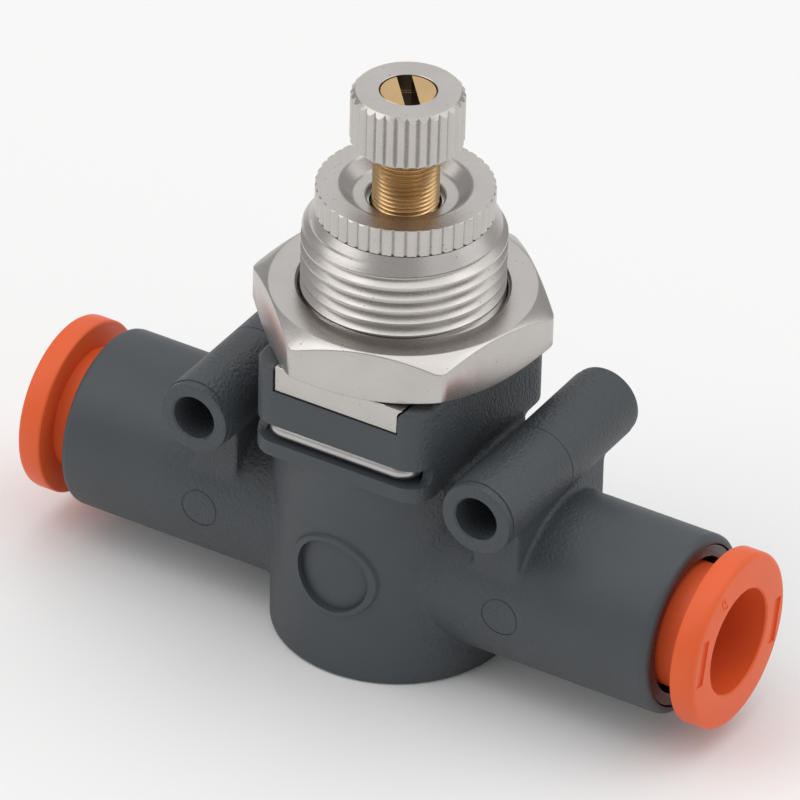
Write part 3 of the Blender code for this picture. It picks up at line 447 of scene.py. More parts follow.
bodyShape = dict(
    centreRadius=9.15, centreTop=17.3, footEdge=0.35,
    barrelRadius=6.82, barrelAxis=8.46, barrelReach=24.9, barrelEdge=0.5,
    housingHalfWidth=7.3, housingHalfDepth=9.2, housingCorner=2.0, housingEdge=0.5, housingTop=24.88,
    bossX=11.88, bossAxis=18.02, bossRadius=2.85, bossReach=9.19, bossEdge=0.1,
    lipRadius=2.77, lipStart=8.55, webHalfWidth=1.9, webReach=6.2,
    spare=1.2, skin=0.01, cutPast=0.05, crownDepth=3.0, voxel=0.2, smoothing=3,
)
bodyBores = dict(
    seal=6.2, sealFloor=14.26, upper=5.6, step=10.36, lower=4.4, floor=1.6,
    socket=6.2, socketShelf=14.5, tube=4.1, tubeStop=13.1, passage=3.0, passageStart=8.0,
    port=1.9, lowerPort=5.56, lowerPortStart=2.2, upperPort=11.56, upperPortStart=5.0,
    hole=1.7, holeEdge=0.12, windowHalfWidth=5.22, windowFloor=22.8, windowCorner=0.8,
    slotFloor=18.4, slotTop=19.9, slotDepth=1.75, legX=5.75, legHalf=0.7, legStart=0.5, legEnd=4.6,
)
emblemRim = dict(height=8.73, fieldRadius=2.97, topRadius=3.25, footRadius=3.65, footDepth=8.4, proud=0.28,
                 sunk=0.22, edge=0.05, frontSpare=0.5, backSpare=0.3, overlap=0.1, fieldBack=0.8)
witnessMarks = dict(circleX=12.75, circleRadius=1.45, circleWidth=0.1, circleDepth=0.05, drumHalf=3.0,
                    lineY=-0.3, lineWidth=0.08, lineDepth=0.04, lineOver=0.1)


def bodyOutside():
    # plain shells melted together with small fillets, longer than the real ones for trimTool to cut
    s = bodyShape
    spare = s["spare"]
    shells = [lathe("centre", [(0.0, s["centreTop"]), (s["centreRadius"], s["centreTop"]),
                               (s["centreRadius"], -spare), (0.0, -spare)], 160)]
    outline = roundedRectangle(s["housingHalfWidth"], s["housingHalfDepth"], s["housingCorner"])
    shells.append(prism("housing", outline, s["centreTop"] - s["housingEdge"] / 2, s["housingTop"] + spare))
    for side in (1, -1):
        reach = s["barrelReach"] + spare
        barrel = lathe("barrel", [(0.0, reach), (s["barrelRadius"], reach), (s["barrelRadius"], 4.0),
                                  (0.0, 4.0)], 160)
        shells.append(moved(barrel, alongX(side, s["barrelAxis"])))
        reach = s["bossReach"] + spare
        boss = lathe("boss", [(0.0, reach), (s["bossRadius"], reach), (s["bossRadius"], -reach),
                              (0.0, -reach)], 96)
        shells.append(moved(boss, alongY(side * s["bossX"], s["bossAxis"])))
        shells.append(box("web", (side * s["bossX"] - s["webHalfWidth"], -s["webReach"], s["barrelAxis"]),
                          (side * s["bossX"] + s["webHalfWidth"], s["webReach"], s["bossAxis"])))
    whole = joined("bodyShell", shells)
    remesh = whole.modifiers.new("melt", "REMESH")
    remesh.mode = "VOXEL"
    remesh.voxel_size = s["voxel"] * 1.0
    smooth = whole.modifiers.new("soften", "SMOOTH")
    smooth.factor = 0.5
    smooth.iterations = s["smoothing"]
    return baked(whole)


def endCutter(radius, reach, edge, length):
    # what lies past a round end: beyond reach, and outside radius over the last length
    spare = bodyShape["spare"]
    return lathe("endCutter", softened([
        (0.0, reach), (radius, reach), (radius, reach - length), (radius + spare / 2, reach - length),
        (radius + spare / 2, reach + 2 * spare), (0.0, reach + 2 * spare),
    ], {1: edge}), 160)


def trimTool():
    s = bodyShape
    skin, past = s["skin"], s["cutPast"]
    foot = endCutter(s["centreRadius"] - skin, 0.0, s["footEdge"], s["footEdge"] + past)
    cutters = [moved(foot, Matrix.Rotation(math.pi, 4, "X"))]
    lip = s["bossReach"] - s["lipStart"]
    for side in (1, -1):
        edge = s["barrelEdge"]
        barrel = endCutter(s["barrelRadius"] - skin, s["barrelReach"], edge, edge + past)
        cutters.append(moved(barrel, alongX(side, s["barrelAxis"])))
        for face in (0.0, math.pi):
            boss = endCutter(s["lipRadius"], s["bossReach"], s["bossEdge"], lip)
            turned = alongY(side * s["bossX"], s["bossAxis"]) @ Matrix.Rotation(face, 4, "X")
            cutters.append(moved(boss, turned))
    wide = s["housingHalfWidth"] + overcut
    deep = s["housingHalfDepth"] + overcut
    cap = box("cap", (-wide, -deep, s["housingTop"] - s["housingEdge"] - past),
              (wide, deep, s["housingTop"] + 2 * s["spare"]))
    outline = roundedRectangle(s["housingHalfWidth"] + skin, s["housingHalfDepth"] + skin, s["housingCorner"])
    crown = prism("crown", outline, s["housingTop"] - s["crownDepth"], s["housingTop"])
    cutters.append(combined(cap, bevelled(crown, s["housingEdge"], 4), "DIFFERENCE"))
    return joined("trimTool", cutters)


def flaredOutline(half, low, high, corner, stop=90.0, steps=8):
    # a straight side that flares out at the top, as (x, height) points
    right = [(half, low)]
    for k in range(steps + 1):
        angle = math.radians(180 - stop * k / steps)
        right.append((half + corner + corner * math.cos(angle), high - corner + corner * math.sin(angle)))
    return right


def windowTool():
    # runs through from front to back. Only its right upper corner flares.
    b = bodyBores
    top = bodyShape["housingTop"]
    deep = bodyShape["housingHalfDepth"] + overcut
    half = b["windowHalfWidth"]
    right = flaredOutline(half, b["windowFloor"], top, b["windowCorner"])
    outline = right + [(right[-1][0], top + overcut), (-half, top + overcut), (-half, b["windowFloor"])]
    return moved(prism("window", outline, -deep, deep), alongY(0, 0))


def slotTool():
    # the clip's slot: across the front with round ends on the sides, and a leg slot on each side
    b = bodyBores
    wide = bodyShape["housingHalfWidth"] + overcut
    front = -bodyShape["housingHalfDepth"]
    half = (b["slotTop"] - b["slotFloor"]) / 2
    back = front + b["slotDepth"] - half
    across = box("clipSlot", (-wide, front - overcut, b["slotFloor"]), (wide, back, b["slotTop"]))
    end = lathe("slotEnd", [(0.0, wide), (half, wide), (half, -wide), (0.0, -wide)], 48)
    moved(end, Matrix.Translation((0, back, 0)) @ alongX(1, b["slotFloor"] + half))
    tools = [end]
    for side in (1, -1):
        low, high = sorted((side * (b["legX"] - b["legHalf"]), side * (b["legX"] + b["legHalf"])))
        tools.append(box("legSlot", (low, front + b["legStart"], b["slotFloor"]),
                         (high, b["legEnd"], b["slotTop"])))
    for tool in tools:
        combined(across, tool, "UNION")
    return across


def boreTool():
    b = bodyBores
    s = bodyShape
    top = s["housingTop"] + overcut
    bore = lathe("bore", [
        (0.0, top), (b["seal"], top), (b["seal"], b["sealFloor"]),
        (b["upper"], b["sealFloor"]), (b["upper"], b["step"]), (b["lower"], b["step"]),
        (b["lower"], b["floor"]), (0.0, b["floor"]),
    ], 128)
    reach = b["passageStart"] + overcut
    mouth = s["barrelReach"] + overcut
    ports = ((1, b["lowerPort"], b["lowerPortStart"]), (-1, b["upperPort"], b["upperPortStart"]))
    for side, height, start in ports:
        port = lathe("port", [(0.0, reach), (b["port"], reach), (b["port"], start), (0.0, start)], 48)
        combined(bore, moved(port, alongX(side, height)), "UNION")
        socket = lathe("socket", [
            (0.0, mouth), (b["socket"], mouth), (b["socket"], b["socketShelf"]),
            (b["tube"], b["socketShelf"]), (b["tube"], b["tubeStop"]), (b["passage"], b["tubeStop"]),
            (b["passage"], b["passageStart"]), (0.0, b["passageStart"]),
        ], 128)
        combined(bore, moved(socket, alongX(side, s["barrelAxis"])), "UNION")
    return bore


def bossHoleTool(side):
    # a straight hole, widened at 45 degrees at both faces
    radius, edge = bodyBores["hole"], bodyBores["holeEdge"]
    face = bodyShape["bossReach"]
    profile = [(0.0, face + overcut), (radius + edge + overcut, face + overcut), (radius, face - edge),
               (radius, edge - face), (radius + edge + overcut, -face - overcut), (0.0, -face - overcut)]
    return moved(lathe("bossHole", profile, 72), alongY(side * bodyShape["bossX"], bodyShape["bossAxis"]))


def emblemDrum(radius):
    e = emblemRim
    low, high = e["height"] - 2 * e["footRadius"], e["height"] + 2 * e["footRadius"]
    return lathe("drum", [(0.0, high), (radius, high), (radius, low), (0.0, low)], 256)


def rimRing():
    # a bare raised ring that follows the round front, with a sloping outer flank
    e = emblemRim
    skin = bodyShape["centreRadius"] + e["proud"]
    slope = (e["footRadius"] - e["topRadius"]) / (skin - e["footDepth"])
    front = skin + e["frontSpare"]
    back = e["footDepth"] - e["backSpare"]
    inner = e["fieldRadius"] - e["overlap"]
    ring = lathe("emblemRim", [
        (e["topRadius"] - e["frontSpare"] * slope, front),
        (e["footRadius"] + e["backSpare"] * slope, back), (inner, back), (inner, front),
    ], 128, hollow=True)
    moved(ring, alongY(0.0, e["height"]))
    return bevelled(combined(ring, emblemDrum(skin), "INTERSECT"), e["edge"], 2, 55)


def fieldTool():
    # the sunk round field inside the rim, left bare
    e = emblemRim
    radius = e["fieldRadius"]
    front = bodyShape["centreRadius"] + overcut
    back = e["fieldBack"] * front
    field = lathe("field", [(0.0, front), (radius, front), (radius, back), (0.0, back)], 128)
    moved(field, alongY(0.0, e["height"]))
    return combined(field, emblemDrum(bodyShape["centreRadius"] - e["sunk"]), "DIFFERENCE")


def witnessTools():
    # the moulding's faint marks: an ejector's circle on each barrel and a parting line round each boss
    w = witnessMarks
    s = bodyShape
    tools = []
    for side in (1, -1):
        outer, inner = w["circleRadius"] + w["circleWidth"] / 2, w["circleRadius"] - w["circleWidth"] / 2
        far, near = s["barrelRadius"] + overcut, s["barrelRadius"] - overcut
        ring = lathe("circle", [(outer, far), (outer, near), (inner, near), (inner, far)], 96, hollow=True)
        moved(ring, alongY(side * w["circleX"], s["barrelAxis"]))
        depth = s["barrelRadius"] - w["circleDepth"]
        start, end = w["circleX"] - w["drumHalf"], w["circleX"] + w["drumHalf"]
        drum = lathe("drum", [(0.0, end), (depth, end), (depth, start), (0.0, start)], 256)
        tools.append(combined(ring, moved(drum, alongX(side, s["barrelAxis"])), "DIFFERENCE"))
        near, far = s["bossRadius"] - w["lineDepth"], s["bossRadius"] + w["lineOver"]
        low, high = -w["lineY"] - w["lineWidth"] / 2, -w["lineY"] + w["lineWidth"] / 2
        line = lathe("line", [(far, high), (far, low), (near, low), (near, high)], 96, hollow=True)
        tools.append(moved(line, alongY(side * s["bossX"], s["bossAxis"])))
    return tools


def makeBody():
    body = bodyOutside()
    print("body skin", len(body.data.polygons))
    combined(body, trimTool(), "DIFFERENCE")
    combined(body, rimRing(), "UNION")
    tool = boreTool()
    combined(tool, windowTool(), "UNION")
    combined(tool, slotTool(), "UNION")
    combined(body, joined("bodyTools", [tool, fieldTool()] + witnessTools()), "DIFFERENCE")
    for side in (1, -1):
        combined(body, bossHoleTool(side), "DIFFERENCE")
    body.name = "valveBody"
    finishPiece(cleaned(body), greyMoulding, "root", ["body"])
    print("body done", len(body.data.polygons))


makeBody()


# Cartridge, with a real screw thread on its neck

cartridgeShape = dict(
    pitch=1.0, crest=7.44, root=6.86, threadBottom=24.95, threadTop=35.22, leadStart=33.75, leadRadius=6.4,
    threadTurn=-216.0, body=6.05, bottom=14.36, boreEdge=0.3, screwBore=2.58,
    grooveRadius=5.0, grooveLow=18.3, grooveHigh=20.0, ringGroove=4.89, ringLow=15.16, ringHigh=16.76,
    insertBore=3.6, insertTop=17.36, stemBore=3.05, stemTop=24.36,
    tabHalfWidth=5.12, tabReach=9.13, tabBottom=22.87, tabTop=24.95, tabEdge=0.1, tabCorner=0.7,
    tabFlare=65.0, tabFlareDepth=1.3, tabOverlap=0.1,
)
# one pitch of a thread, as (share of the pitch, depth): depth is 0 at the crest and 1 at the root
threadForm = [(-0.07, 0.0), (0.07, 0.0), (0.12, 0.1), (0.38, 0.92), (0.44, 1.0), (0.56, 1.0), (0.62, 0.92),
              (0.88, 0.1)]


def threadedColumns(steps, pitch, crest, root, bottom, top, envelope, rest):
    # thread rows follow the helix and are held between bottom and top, then the plain profile rest follows
    perPitch = len(threadForm)
    turns = math.ceil((top - bottom) / pitch) + 2
    columns = []
    for i in range(steps):
        angle = fullTurn * i / steps
        column = []
        for j in range(perPitch * turns + 1):
            share, depth = threadForm[j % perPitch]
            height = bottom + pitch * (j // perPitch + share + i / steps - 1.2)
            held = min(max(height, bottom), top)
            if held != height:
                phase = (held - bottom) / pitch - i / steps + 1.2
                depth = threadDepth(phase % 1.0)
            radius = min(crest - depth * (crest - root), envelope(held))
            column.append((radius * math.cos(angle), radius * math.sin(angle), held))
        for radius, height in rest:
            column.append((radius * math.cos(angle), radius * math.sin(angle), height))
        columns.append(column)
    return columns, perPitch, perPitch * turns + 1


def threadDepth(phase):
    if phase > threadForm[-1][0]:
        phase -= 1.0
    for (start, low), (end, high) in zip(threadForm, threadForm[1:]):
        if start <= phase <= end:
            return low + (high - low) * (phase - start) / (end - start)
    wrap = 1.0 + threadForm[0][0] - threadForm[-1][0]
    return threadForm[-1][1] * (1 - (phase + 1.0 - threadForm[-1][0]) / wrap)


def makeCartridge():
    c = cartridgeShape

    def envelope(height):
        if height < c["leadStart"]:
            return c["crest"]
        share = (height - c["leadStart"]) / (c["threadTop"] - c["leadStart"])
        return c["crest"] + share * (c["leadRadius"] - c["crest"])

    rest = [
        (c["screwBore"] + c["boreEdge"], c["threadTop"]), (c["screwBore"], c["threadTop"] - c["boreEdge"]),
        (c["screwBore"], c["stemTop"]), (c["stemBore"], c["stemTop"]), (c["stemBore"], c["insertTop"]),
        (c["insertBore"], c["insertTop"]), (c["insertBore"], c["bottom"]), (c["body"], c["bottom"]),
        (c["body"], c["ringLow"]), (c["ringGroove"], c["ringLow"]), (c["ringGroove"], c["ringHigh"]),
        (c["body"], c["ringHigh"]), (c["body"], c["grooveLow"]), (c["grooveRadius"], c["grooveLow"]),
        (c["grooveRadius"], c["grooveHigh"]), (c["body"], c["grooveHigh"]), (c["body"], c["threadBottom"]),
    ]
    columns, shift, rows = threadedColumns(160, c["pitch"], c["crest"], c["root"], c["threadBottom"],
                                           c["threadTop"], envelope, rest)
    piece = columnsMesh("cartridge", columns, True, shift, rows)
    # turned before the tabs are joined, so that the ridges lie as in the photo
    moved(piece, Matrix.Rotation(math.radians(c["threadTurn"]), 4, "Z"))
    half, top = c["tabHalfWidth"], c["tabTop"]
    tabs = box("tabs", (-half, -c["tabReach"], c["tabBottom"]), (half, c["tabReach"], top))
    bevelled(tabs, c["tabEdge"], 3)
    # the tabs' right upper corner flares like the window's
    low = top - c["tabFlareDepth"]
    right = flaredOutline(half, low, top, c["tabCorner"], c["tabFlare"])
    right += [(right[-1][0], top), (half - overcut, top), (half - overcut, low)]
    flare = prism("flare", right, -c["tabReach"], c["tabReach"])
    combined(tabs, moved(flare, alongY(0, 0)), "UNION")
    inner = c["body"] - c["tabOverlap"]
    above, below = top + overcut, c["tabBottom"] - overcut
    hole = lathe("tabHole", [(0.0, above), (inner, above), (inner, below), (0.0, below)], 160)
    combined(piece, combined(tabs, hole, "DIFFERENCE"), "UNION")
    piece.name = "threadedCartridge"
    finishPiece(cleaned(piece), nickelPlate, "root", ["cartridge"])
    print("cartridge done", len(piece.data.polygons))


makeCartridge()


# Adjusting screw

screwShape = dict(
    pitch=0.35, crest=2.43, root=2.22, threadBottom=32.0, threadTop=40.99, coreDrop=0.1, overlap=0.02,
    neck=2.03, neckTop=45.2, neckEdge=0.05, slotWidth=1.1, slotDepth=1.4, slotAngle=-50.0,
    guide=2.9, guideTop=23.16, guideBottom=19.61, grooveRadius=2.01, grooveHalf=0.57, needle=1.7,
    shoulder=13.96, tip=9.96, tipRadius=0.6,
)


def makeScrew():
    s = screwShape
    middle = (s["guideTop"] + s["guideBottom"]) / 2
    rest = [
        (s["neck"], s["threadTop"]), (s["neck"], s["neckTop"] - s["neckEdge"]),
        (s["neck"] - s["neckEdge"], s["neckTop"]), (0.0, s["neckTop"]),
    ]
    joint = s["threadBottom"] + s["overlap"]
    below = [
        (0.0, s["tip"]), (s["tipRadius"], s["tip"]), (s["needle"], s["shoulder"]),
        (s["needle"], s["guideBottom"]), (s["guide"], s["guideBottom"]),
        (s["guide"], middle - s["grooveHalf"]), (s["grooveRadius"], middle - s["grooveHalf"]),
        (s["grooveRadius"], middle + s["grooveHalf"]), (s["guide"], middle + s["grooveHalf"]),
        (s["guide"], s["guideTop"]), (s["crest"], s["guideTop"]), (s["crest"], joint), (0.0, joint),
    ]
    steps = 96
    columns, shift, rows = threadedColumns(steps, s["pitch"], s["crest"], s["root"], s["threadBottom"],
                                           s["threadTop"], lambda height: s["crest"], rest)
    piece = columnsMesh("screw", columns, False, shift, rows)
    core, coreTop = s["root"] - s["overlap"], s["threadTop"] - s["coreDrop"]
    cap = lathe("screwCore", [(0.0, coreTop), (core, coreTop), (core, s["threadBottom"]),
                              (0.0, s["threadBottom"])], steps)
    fillHoles(piece)
    combined(piece, cap, "UNION")
    combined(piece, lathe("screwEnd", below, steps), "UNION")
    half = s["slotWidth"] / 2
    slot = box("driverSlot", (-s["crest"] - overcut, -half, s["neckTop"] - s["slotDepth"]),
               (s["crest"] + overcut, half, s["neckTop"] + overcut))
    moved(slot, Matrix.Rotation(math.radians(s["slotAngle"]), 4, "Z"))
    combined(piece, slot, "DIFFERENCE")
    piece.name = "needleScrew"
    finishPiece(cleaned(piece), bareBrass, "screw", ["adjusting_screw"])
    print("screw done", len(piece.data.polygons))


makeScrew()


# Knurled pieces

def knurledLathe(name, shape, inner):
    # inner is the profile from the bottom's bore up to the top's, and each column meets the chamfer cones
    count, perKnurl = shape["knurls"], shape["perKnurl"]
    radius, edge, depth = shape["radius"], shape["edge"], shape["depth"]
    top, bottom = shape["top"], shape["bottom"]
    columns = []
    for i in range(count * perKnurl):
        angle = fullTurn * i / (count * perKnurl)
        share = abs(2 * (i % perKnurl) / perKnurl - 1)   # 1 in the groove, 0 on the crest
        drop = depth * share ** shape["crestForm"]
        reach = radius - drop
        start = min(radius - edge, reach)
        slope = max(edge - drop, 0.0)
        profile = [(start, top), (reach, top - slope), (reach, bottom + slope), (start, bottom)] + inner
        columns.append([(r * math.cos(angle), r * math.sin(angle), z) for r, z in profile])
    return columnsMesh(name, columns, True)


knobShape = dict(radius=4.12, knurls=30, perKnurl=12, depth=0.3, edge=0.34, top=45.27, bottom=40.95,
                 crestForm=1.9, bore=2.09, boreEdge=0.04)
ringShape = dict(radius=6.5, knurls=43, perKnurl=10, depth=0.24, edge=0.1, top=37.42, bottom=35.26,
                 crestForm=1.9, dishRadius=4.78, floorRadius=3.83, floorDepth=0.95, dishRound=0.6,
                 bore=2.62, boreEdge=0.2, mouth=2.82, mouthDepth=0.5, mouthRound=0.2)


def makeKnob():
    k = knobShape
    inner = [(k["bore"] + k["boreEdge"], k["bottom"]), (k["bore"], k["bottom"] + k["boreEdge"]),
             (k["bore"], k["top"] - k["boreEdge"]), (k["bore"] + k["boreEdge"], k["top"])]
    piece = knurledLathe("knurledKnob", k, inner)
    finishPiece(piece, nickelPlate, "screw", ["knob"], 28)


def makeLockRing():
    r = ringShape
    floor = r["top"] - r["floorDepth"]
    # the last point only guides the rounding of the rim, so it is dropped again
    inner = softened([
        (r["bore"] + r["boreEdge"], r["bottom"]), (r["bore"], r["bottom"] + r["boreEdge"]),
        (r["bore"], floor - r["mouthDepth"]), (r["mouth"], floor - r["mouthDepth"]), (r["mouth"], floor),
        (r["floorRadius"], floor), (r["dishRadius"], r["top"]), (r["radius"] - r["edge"], r["top"]),
    ], {4: r["mouthRound"], 5: r["dishRound"], 6: r["dishRound"]})[:-1]
    piece = knurledLathe("knurledLockRing", r, inner)
    finishPiece(piece, nickelPlate, "lock_ring", ["lock_ring"], 28)


makeKnob()
makeLockRing()
print("knurled pieces done")


# Panel nut

nutShape = dict(corner=11.35, cornerCut=0.5, turn=15.5, bottom=25.0, top=29.05, chamferAngle=30.0,
                flatCircle=9.7, bore=7.59, countersink=0.2, edge=0.06)


def makeNut():
    n = nutShape
    outline = [(n["corner"] * math.cos(fullTurn * i / 6), n["corner"] * math.sin(fullTurn * i / 6))
               for i in range(6)]
    nut = bevelled(prism("nut", outline, n["bottom"] - overcut, n["top"] + overcut), n["cornerCut"], 2)
    moved(nut, Matrix.Rotation(math.radians(n["turn"]), 4, "Z"))
    end = n["corner"] + overcut
    drop = (end - n["flatCircle"]) * math.tan(math.radians(n["chamferAngle"]))
    shape = lathe("nutShape", [
        (n["flatCircle"], n["top"]), (end, n["top"] - drop), (end, n["bottom"] + drop),
        (n["flatCircle"], n["bottom"]),
        (n["bore"] + n["countersink"], n["bottom"]), (n["bore"], n["bottom"] + n["countersink"]),
        (n["bore"], n["top"] - n["countersink"]), (n["bore"] + n["countersink"], n["top"]),
    ], 192, hollow=True)
    combined(nut, shape, "INTERSECT")
    bevelled(cleaned(nut), n["edge"], 2, 20)
    nut.name = "panelNut"
    finishPiece(nut, nickelPlate, "panel_nut", ["panel_nut"])
    print("nut done", len(nut.data.polygons))


makeNut()


# Push-in ends

collarShape = dict(
    radius=6.71, front=28.73, rear=26.77, edge=0.45, rearEdge=0.2, bore=4.05, boreEdge=0.12, sleeve=4.7,
    nose=19.73, barb=5.45, barbLength=0.9, slitWidth=0.8, slitLength=3.2, slitReach=6.2,
    slotLength=3.6, slotWidth=0.85, slotDepth=0.2, slotOffset=5.4, slotTurn=-12.0, slotEdge=0.1,
    markRadius=5.2, markAngle=-27.0, markSize=0.3, markUpper=0.92, markHeight=0.07, markWall=0.07,
    markSink=0.05,
)
bushShape = dict(outer=6.08, start=18.75, end=24.8, edge=0.12, bore=5.2, recess=5.6, lip=20.8)


def figureEight(c):
    # two small raised rings, one above the other, the upper one smaller
    wall, height, sink = c["markWall"], c["markHeight"], c["markSink"]
    rings = []
    for level, share in ((-1, 1.0), (1, c["markUpper"])):
        size = c["markSize"] * share
        ring = lathe("mark", [(size + wall, -sink), (size + wall, height / 2), (size, height),
                              (size - wall, height), (size - 2 * wall, height / 2),
                              (size - 2 * wall, -sink)], 32, hollow=True)
        rings.append(moved(ring, Matrix.Translation((0, level * c["markSize"] * c["markUpper"], 0))))
    return combined(rings[0], rings[1], "UNION")


def makeCollar(name, side):
    c = collarShape
    profile = softened([
        (c["bore"] + c["boreEdge"], c["front"]), (c["radius"], c["front"]), (c["radius"], c["rear"]),
        (c["sleeve"], c["rear"]), (c["sleeve"], c["nose"] + c["barbLength"]),
        (c["barb"], c["nose"] + c["barbLength"]), (c["sleeve"], c["nose"]), (c["bore"], c["nose"]),
        (c["bore"], c["front"] - c["boreEdge"]),
    ], {1: c["edge"], 2: c["rearEdge"]})
    collar = lathe(name, profile, 128, hollow=True)
    for turn in (45.0, 135.0):
        slit = box("slit", (-c["slitReach"], -c["slitWidth"] / 2, c["nose"] - overcut),
                   (c["slitReach"], c["slitWidth"] / 2, c["nose"] + c["slitLength"]))
        combined(collar, moved(slit, Matrix.Rotation(math.radians(turn), 4, "Z")), "DIFFERENCE")
    for turn in (0.0, 180.0):
        half = c["slotWidth"] / 2
        slot = box("slot", (-c["slotLength"] / 2, c["slotOffset"] - half, c["front"] - c["slotDepth"]),
                   (c["slotLength"] / 2, c["slotOffset"] + half, c["front"] + overcut))
        turned = Matrix.Rotation(math.radians(turn + c["slotTurn"]), 4, "Z")
        combined(collar, moved(bevelled(slot, c["slotEdge"], 2), turned), "DIFFERENCE")
    mark = figureEight(c)
    # the mark's angle runs towards the back, from straight up on the right and straight down on the left
    angle = math.radians(c["markAngle"])
    local = Matrix.Translation((-c["markRadius"] * math.cos(angle), c["markRadius"] * math.sin(angle),
                                c["front"]))
    combined(collar, moved(mark, local @ Matrix.Rotation(math.pi / 2 - angle, 4, "Z")), "UNION")
    moved(collar, alongX(side, bodyShape["barrelAxis"]))
    collar.name = name
    finishPiece(cleaned(collar), orangeMoulding, name.replace("Collar", "_collar"),
                [name.replace("Collar", "_release_collar")])


def makeBush(name, side):
    b = bushShape
    profile = softened([
        (b["outer"], b["end"]), (b["outer"], b["start"]), (b["recess"], b["start"]), (b["recess"], b["lip"]),
        (b["bore"], b["lip"]), (b["bore"], b["end"]), ((b["outer"] + b["bore"]) / 2, b["end"]),
    ], {5: b["edge"]})
    bush = moved(lathe(name, profile, 128, hollow=True), alongX(side, bodyShape["barrelAxis"]))
    finishPiece(bush, brownMoulding, "root", [name.replace("Bush", "_retainer_bush")])


for sideName, side in (("left", -1), ("right", 1)):
    makeCollar(sideName + "Collar", side)
    makeBush(sideName + "Bush", side)
print("push-in ends done")


# Spring wire clip

clipShape = dict(wire=0.6, height=19.15, legX=5.75, legEnd=4.5, bridge=8.3, bend=1.1, bendSteps=12)


def makeClip():
    c = clipShape
    half = [(c["legX"], c["legEnd"])]
    bend, steps = c["bend"], c["bendSteps"]
    for i in range(steps + 1):
        angle = math.pi / 2 * i / steps
        half.append((c["legX"] - bend * (1 - math.cos(angle)), -c["bridge"] + bend * (1 - math.sin(angle))))
    points = half + [(-x, y) for x, y in reversed(half)]
    curve = bpy.data.curves.new("clipWire", "CURVE")
    curve.dimensions = "3D"
    curve.bevel_depth = c["wire"]
    curve.bevel_resolution = 8
    curve.use_fill_caps = True
    spline = curve.splines.new("POLY")
    spline.points.add(len(points) - 1)
    for point, (x, y) in zip(spline.points, points):
        point.co = (x, y, c["height"], 1.0)
    wire = bpy.data.objects.new("clipWire", curve)
    bpy.context.scene.collection.objects.link(wire)
    clip = bpy.data.objects.new("wireClip", evaluatedMesh(wire))
    bpy.data.objects.remove(wire, do_unlink=True)
    bpy.context.scene.collection.objects.link(clip)
    finishPiece(cleaned(clip), springSteel, "root", ["retaining_clip"])


makeClip()
print("clip done")


# The parts inside keep their frame shapes and get finishes of their own
insideFinishes = {
    "seat_insert": whiteMoulding, "check_lip_seal": blackRubber, "cartridge_seal": blackRubber,
    "stem_seal": blackRubber,
    "left_grip_ring": springSteel, "right_grip_ring": springSteel,
    "left_support_ring": whiteMoulding, "right_support_ring": whiteMoulding,
    "left_tube_seal": blackRubber, "right_tube_seal": blackRubber,
}
for nodeName, material in insideFinishes.items():
    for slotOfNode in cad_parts[nodeName].material_slots:
        slotOfNode.material = material


# Stage, light and camera

stageLook = dict(floorColour=(0.94, 0.94, 0.94), floorHalf=3000.0, floorRoughness=0.9, floorSpecular=0.1,
                 worldColour=(1.0, 1.0, 1.0), worldStrength=0.42)
lampLooks = {
    # place, aim and size in millimetres, power in watts
    "keyLamp": dict(place=(-520, -420, 620), aim=(0, 0, 15), size=800, power=2.1, colour=(1.0, 0.99, 0.97)),
    "topLamp": dict(place=(40, 60, 800), aim=(0, 0, 15), size=1100, power=2.9, colour=(1.0, 1.0, 1.0)),
    "sideLamp": dict(place=(700, -250, 300), aim=(0, 0, 15), size=600, power=0.4, colour=(0.98, 0.99, 1.0)),
    "rightLamp": dict(place=(560, 400, 540), aim=(0, 0, 15), size=800, power=1.2, colour=(1.0, 1.0, 1.0)),
    "backLamp": dict(place=(-507, 862, 680), aim=(0, 0, 15), size=900, power=0.95, colour=(1.0, 1.0, 1.0)),
}
viewShape = dict(azimuth=30.448, elevation=33.625, roll=1.543, distance=735.359, focalPixels=10166.714,
                 framePixels=800, sensorWidth=36.0, aimSide=-0.006, aimHeight=18.836, farClip=20000.0)


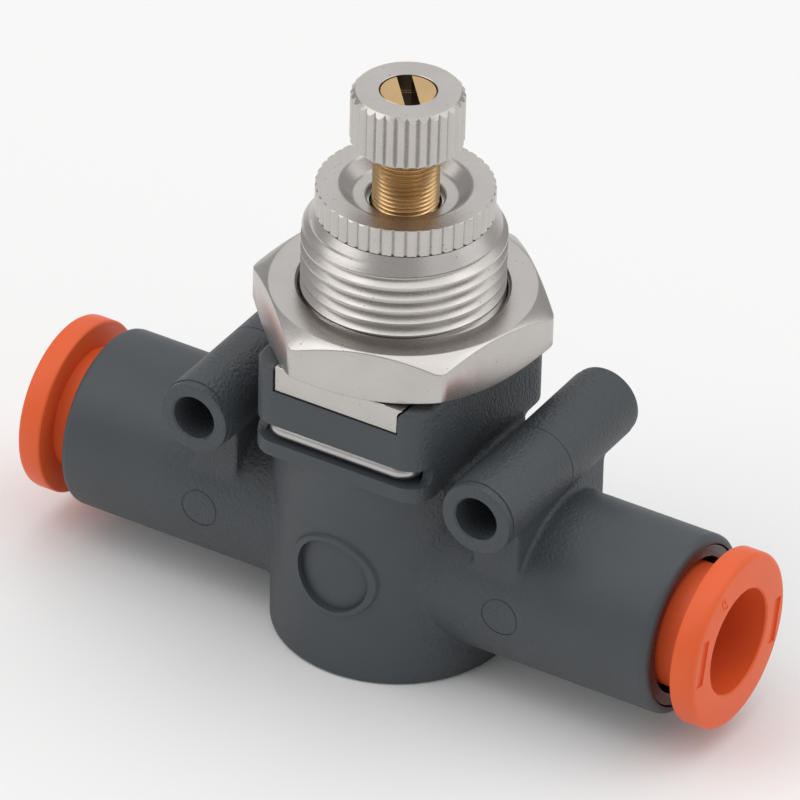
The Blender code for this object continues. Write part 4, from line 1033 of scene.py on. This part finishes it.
def makeStage():
    half = stageLook["floorHalf"]
    floor = meshObject("floor", [(-half, -half, 0), (half, -half, 0), (half, half, 0), (-half, half, 0)],
                       [(0, 1, 2, 3)])
    moved(floor, Matrix.Scale(mm, 4))
    material, _, shader = newMaterial("paleFloor")
    shader.inputs["Base Color"].default_value = (*stageLook["floorColour"], 1.0)
    shader.inputs["Roughness"].default_value = stageLook["floorRoughness"]
    shader.inputs["Specular IOR Level"].default_value = stageLook["floorSpecular"]
    floor.data.materials.append(material)
    world = bpy.data.worlds.new("studio")
    world.use_nodes = True
    background = world.node_tree.nodes["Background"]
    background.inputs["Color"].default_value = (*stageLook["worldColour"], 1.0)
    background.inputs["Strength"].default_value = stageLook["worldStrength"]
    bpy.context.scene.world = world
    bpy.context.scene.view_settings.view_transform = "Standard"


def makeLamps():
    for name, lamp in lampLooks.items():
        light = bpy.data.lights.new(name, "AREA")
        light.shape = "DISK"
        light.size = lamp["size"] * mm
        light.energy = lamp["power"]
        light.color = lamp["colour"]
        obj = bpy.data.objects.new(name, light)
        bpy.context.scene.collection.objects.link(obj)
        obj.location = Vector(lamp["place"]) * mm
        aim = Vector(lamp["aim"]) * mm - obj.location
        obj.rotation_euler = aim.to_track_quat("-Z", "Y").to_euler()


def makeCamera():
    v = viewShape
    azimuth, elevation, roll = (math.radians(v[key]) for key in ("azimuth", "elevation", "roll"))
    back = Vector((math.sin(azimuth) * math.cos(elevation), -math.cos(azimuth) * math.cos(elevation),
                   math.sin(elevation)))
    right = Vector((math.cos(azimuth), math.sin(azimuth), 0.0))
    up = back.cross(right)
    cameraX = right * math.cos(roll) + up * math.sin(roll)
    cameraY = up * math.cos(roll) - right * math.sin(roll)
    camera = bpy.data.cameras.new("photoCamera")
    camera.sensor_width = v["sensorWidth"]
    camera.lens = v["focalPixels"] * camera.sensor_width / v["framePixels"]
    camera.clip_end = v["farClip"] * mm
    obj = bpy.data.objects.new("photoCamera", camera)
    bpy.context.scene.collection.objects.link(obj)
    place = Vector((0, 0, v["aimHeight"])) + right * v["aimSide"] + back * v["distance"]
    turn = Matrix((cameraX, cameraY, back)).transposed().to_4x4()
    obj.matrix_world = Matrix.Translation(place * mm) @ turn
    bpy.context.scene.camera = obj


makeStage()
makeLamps()
makeCamera()
print("stage, lamps and camera set")
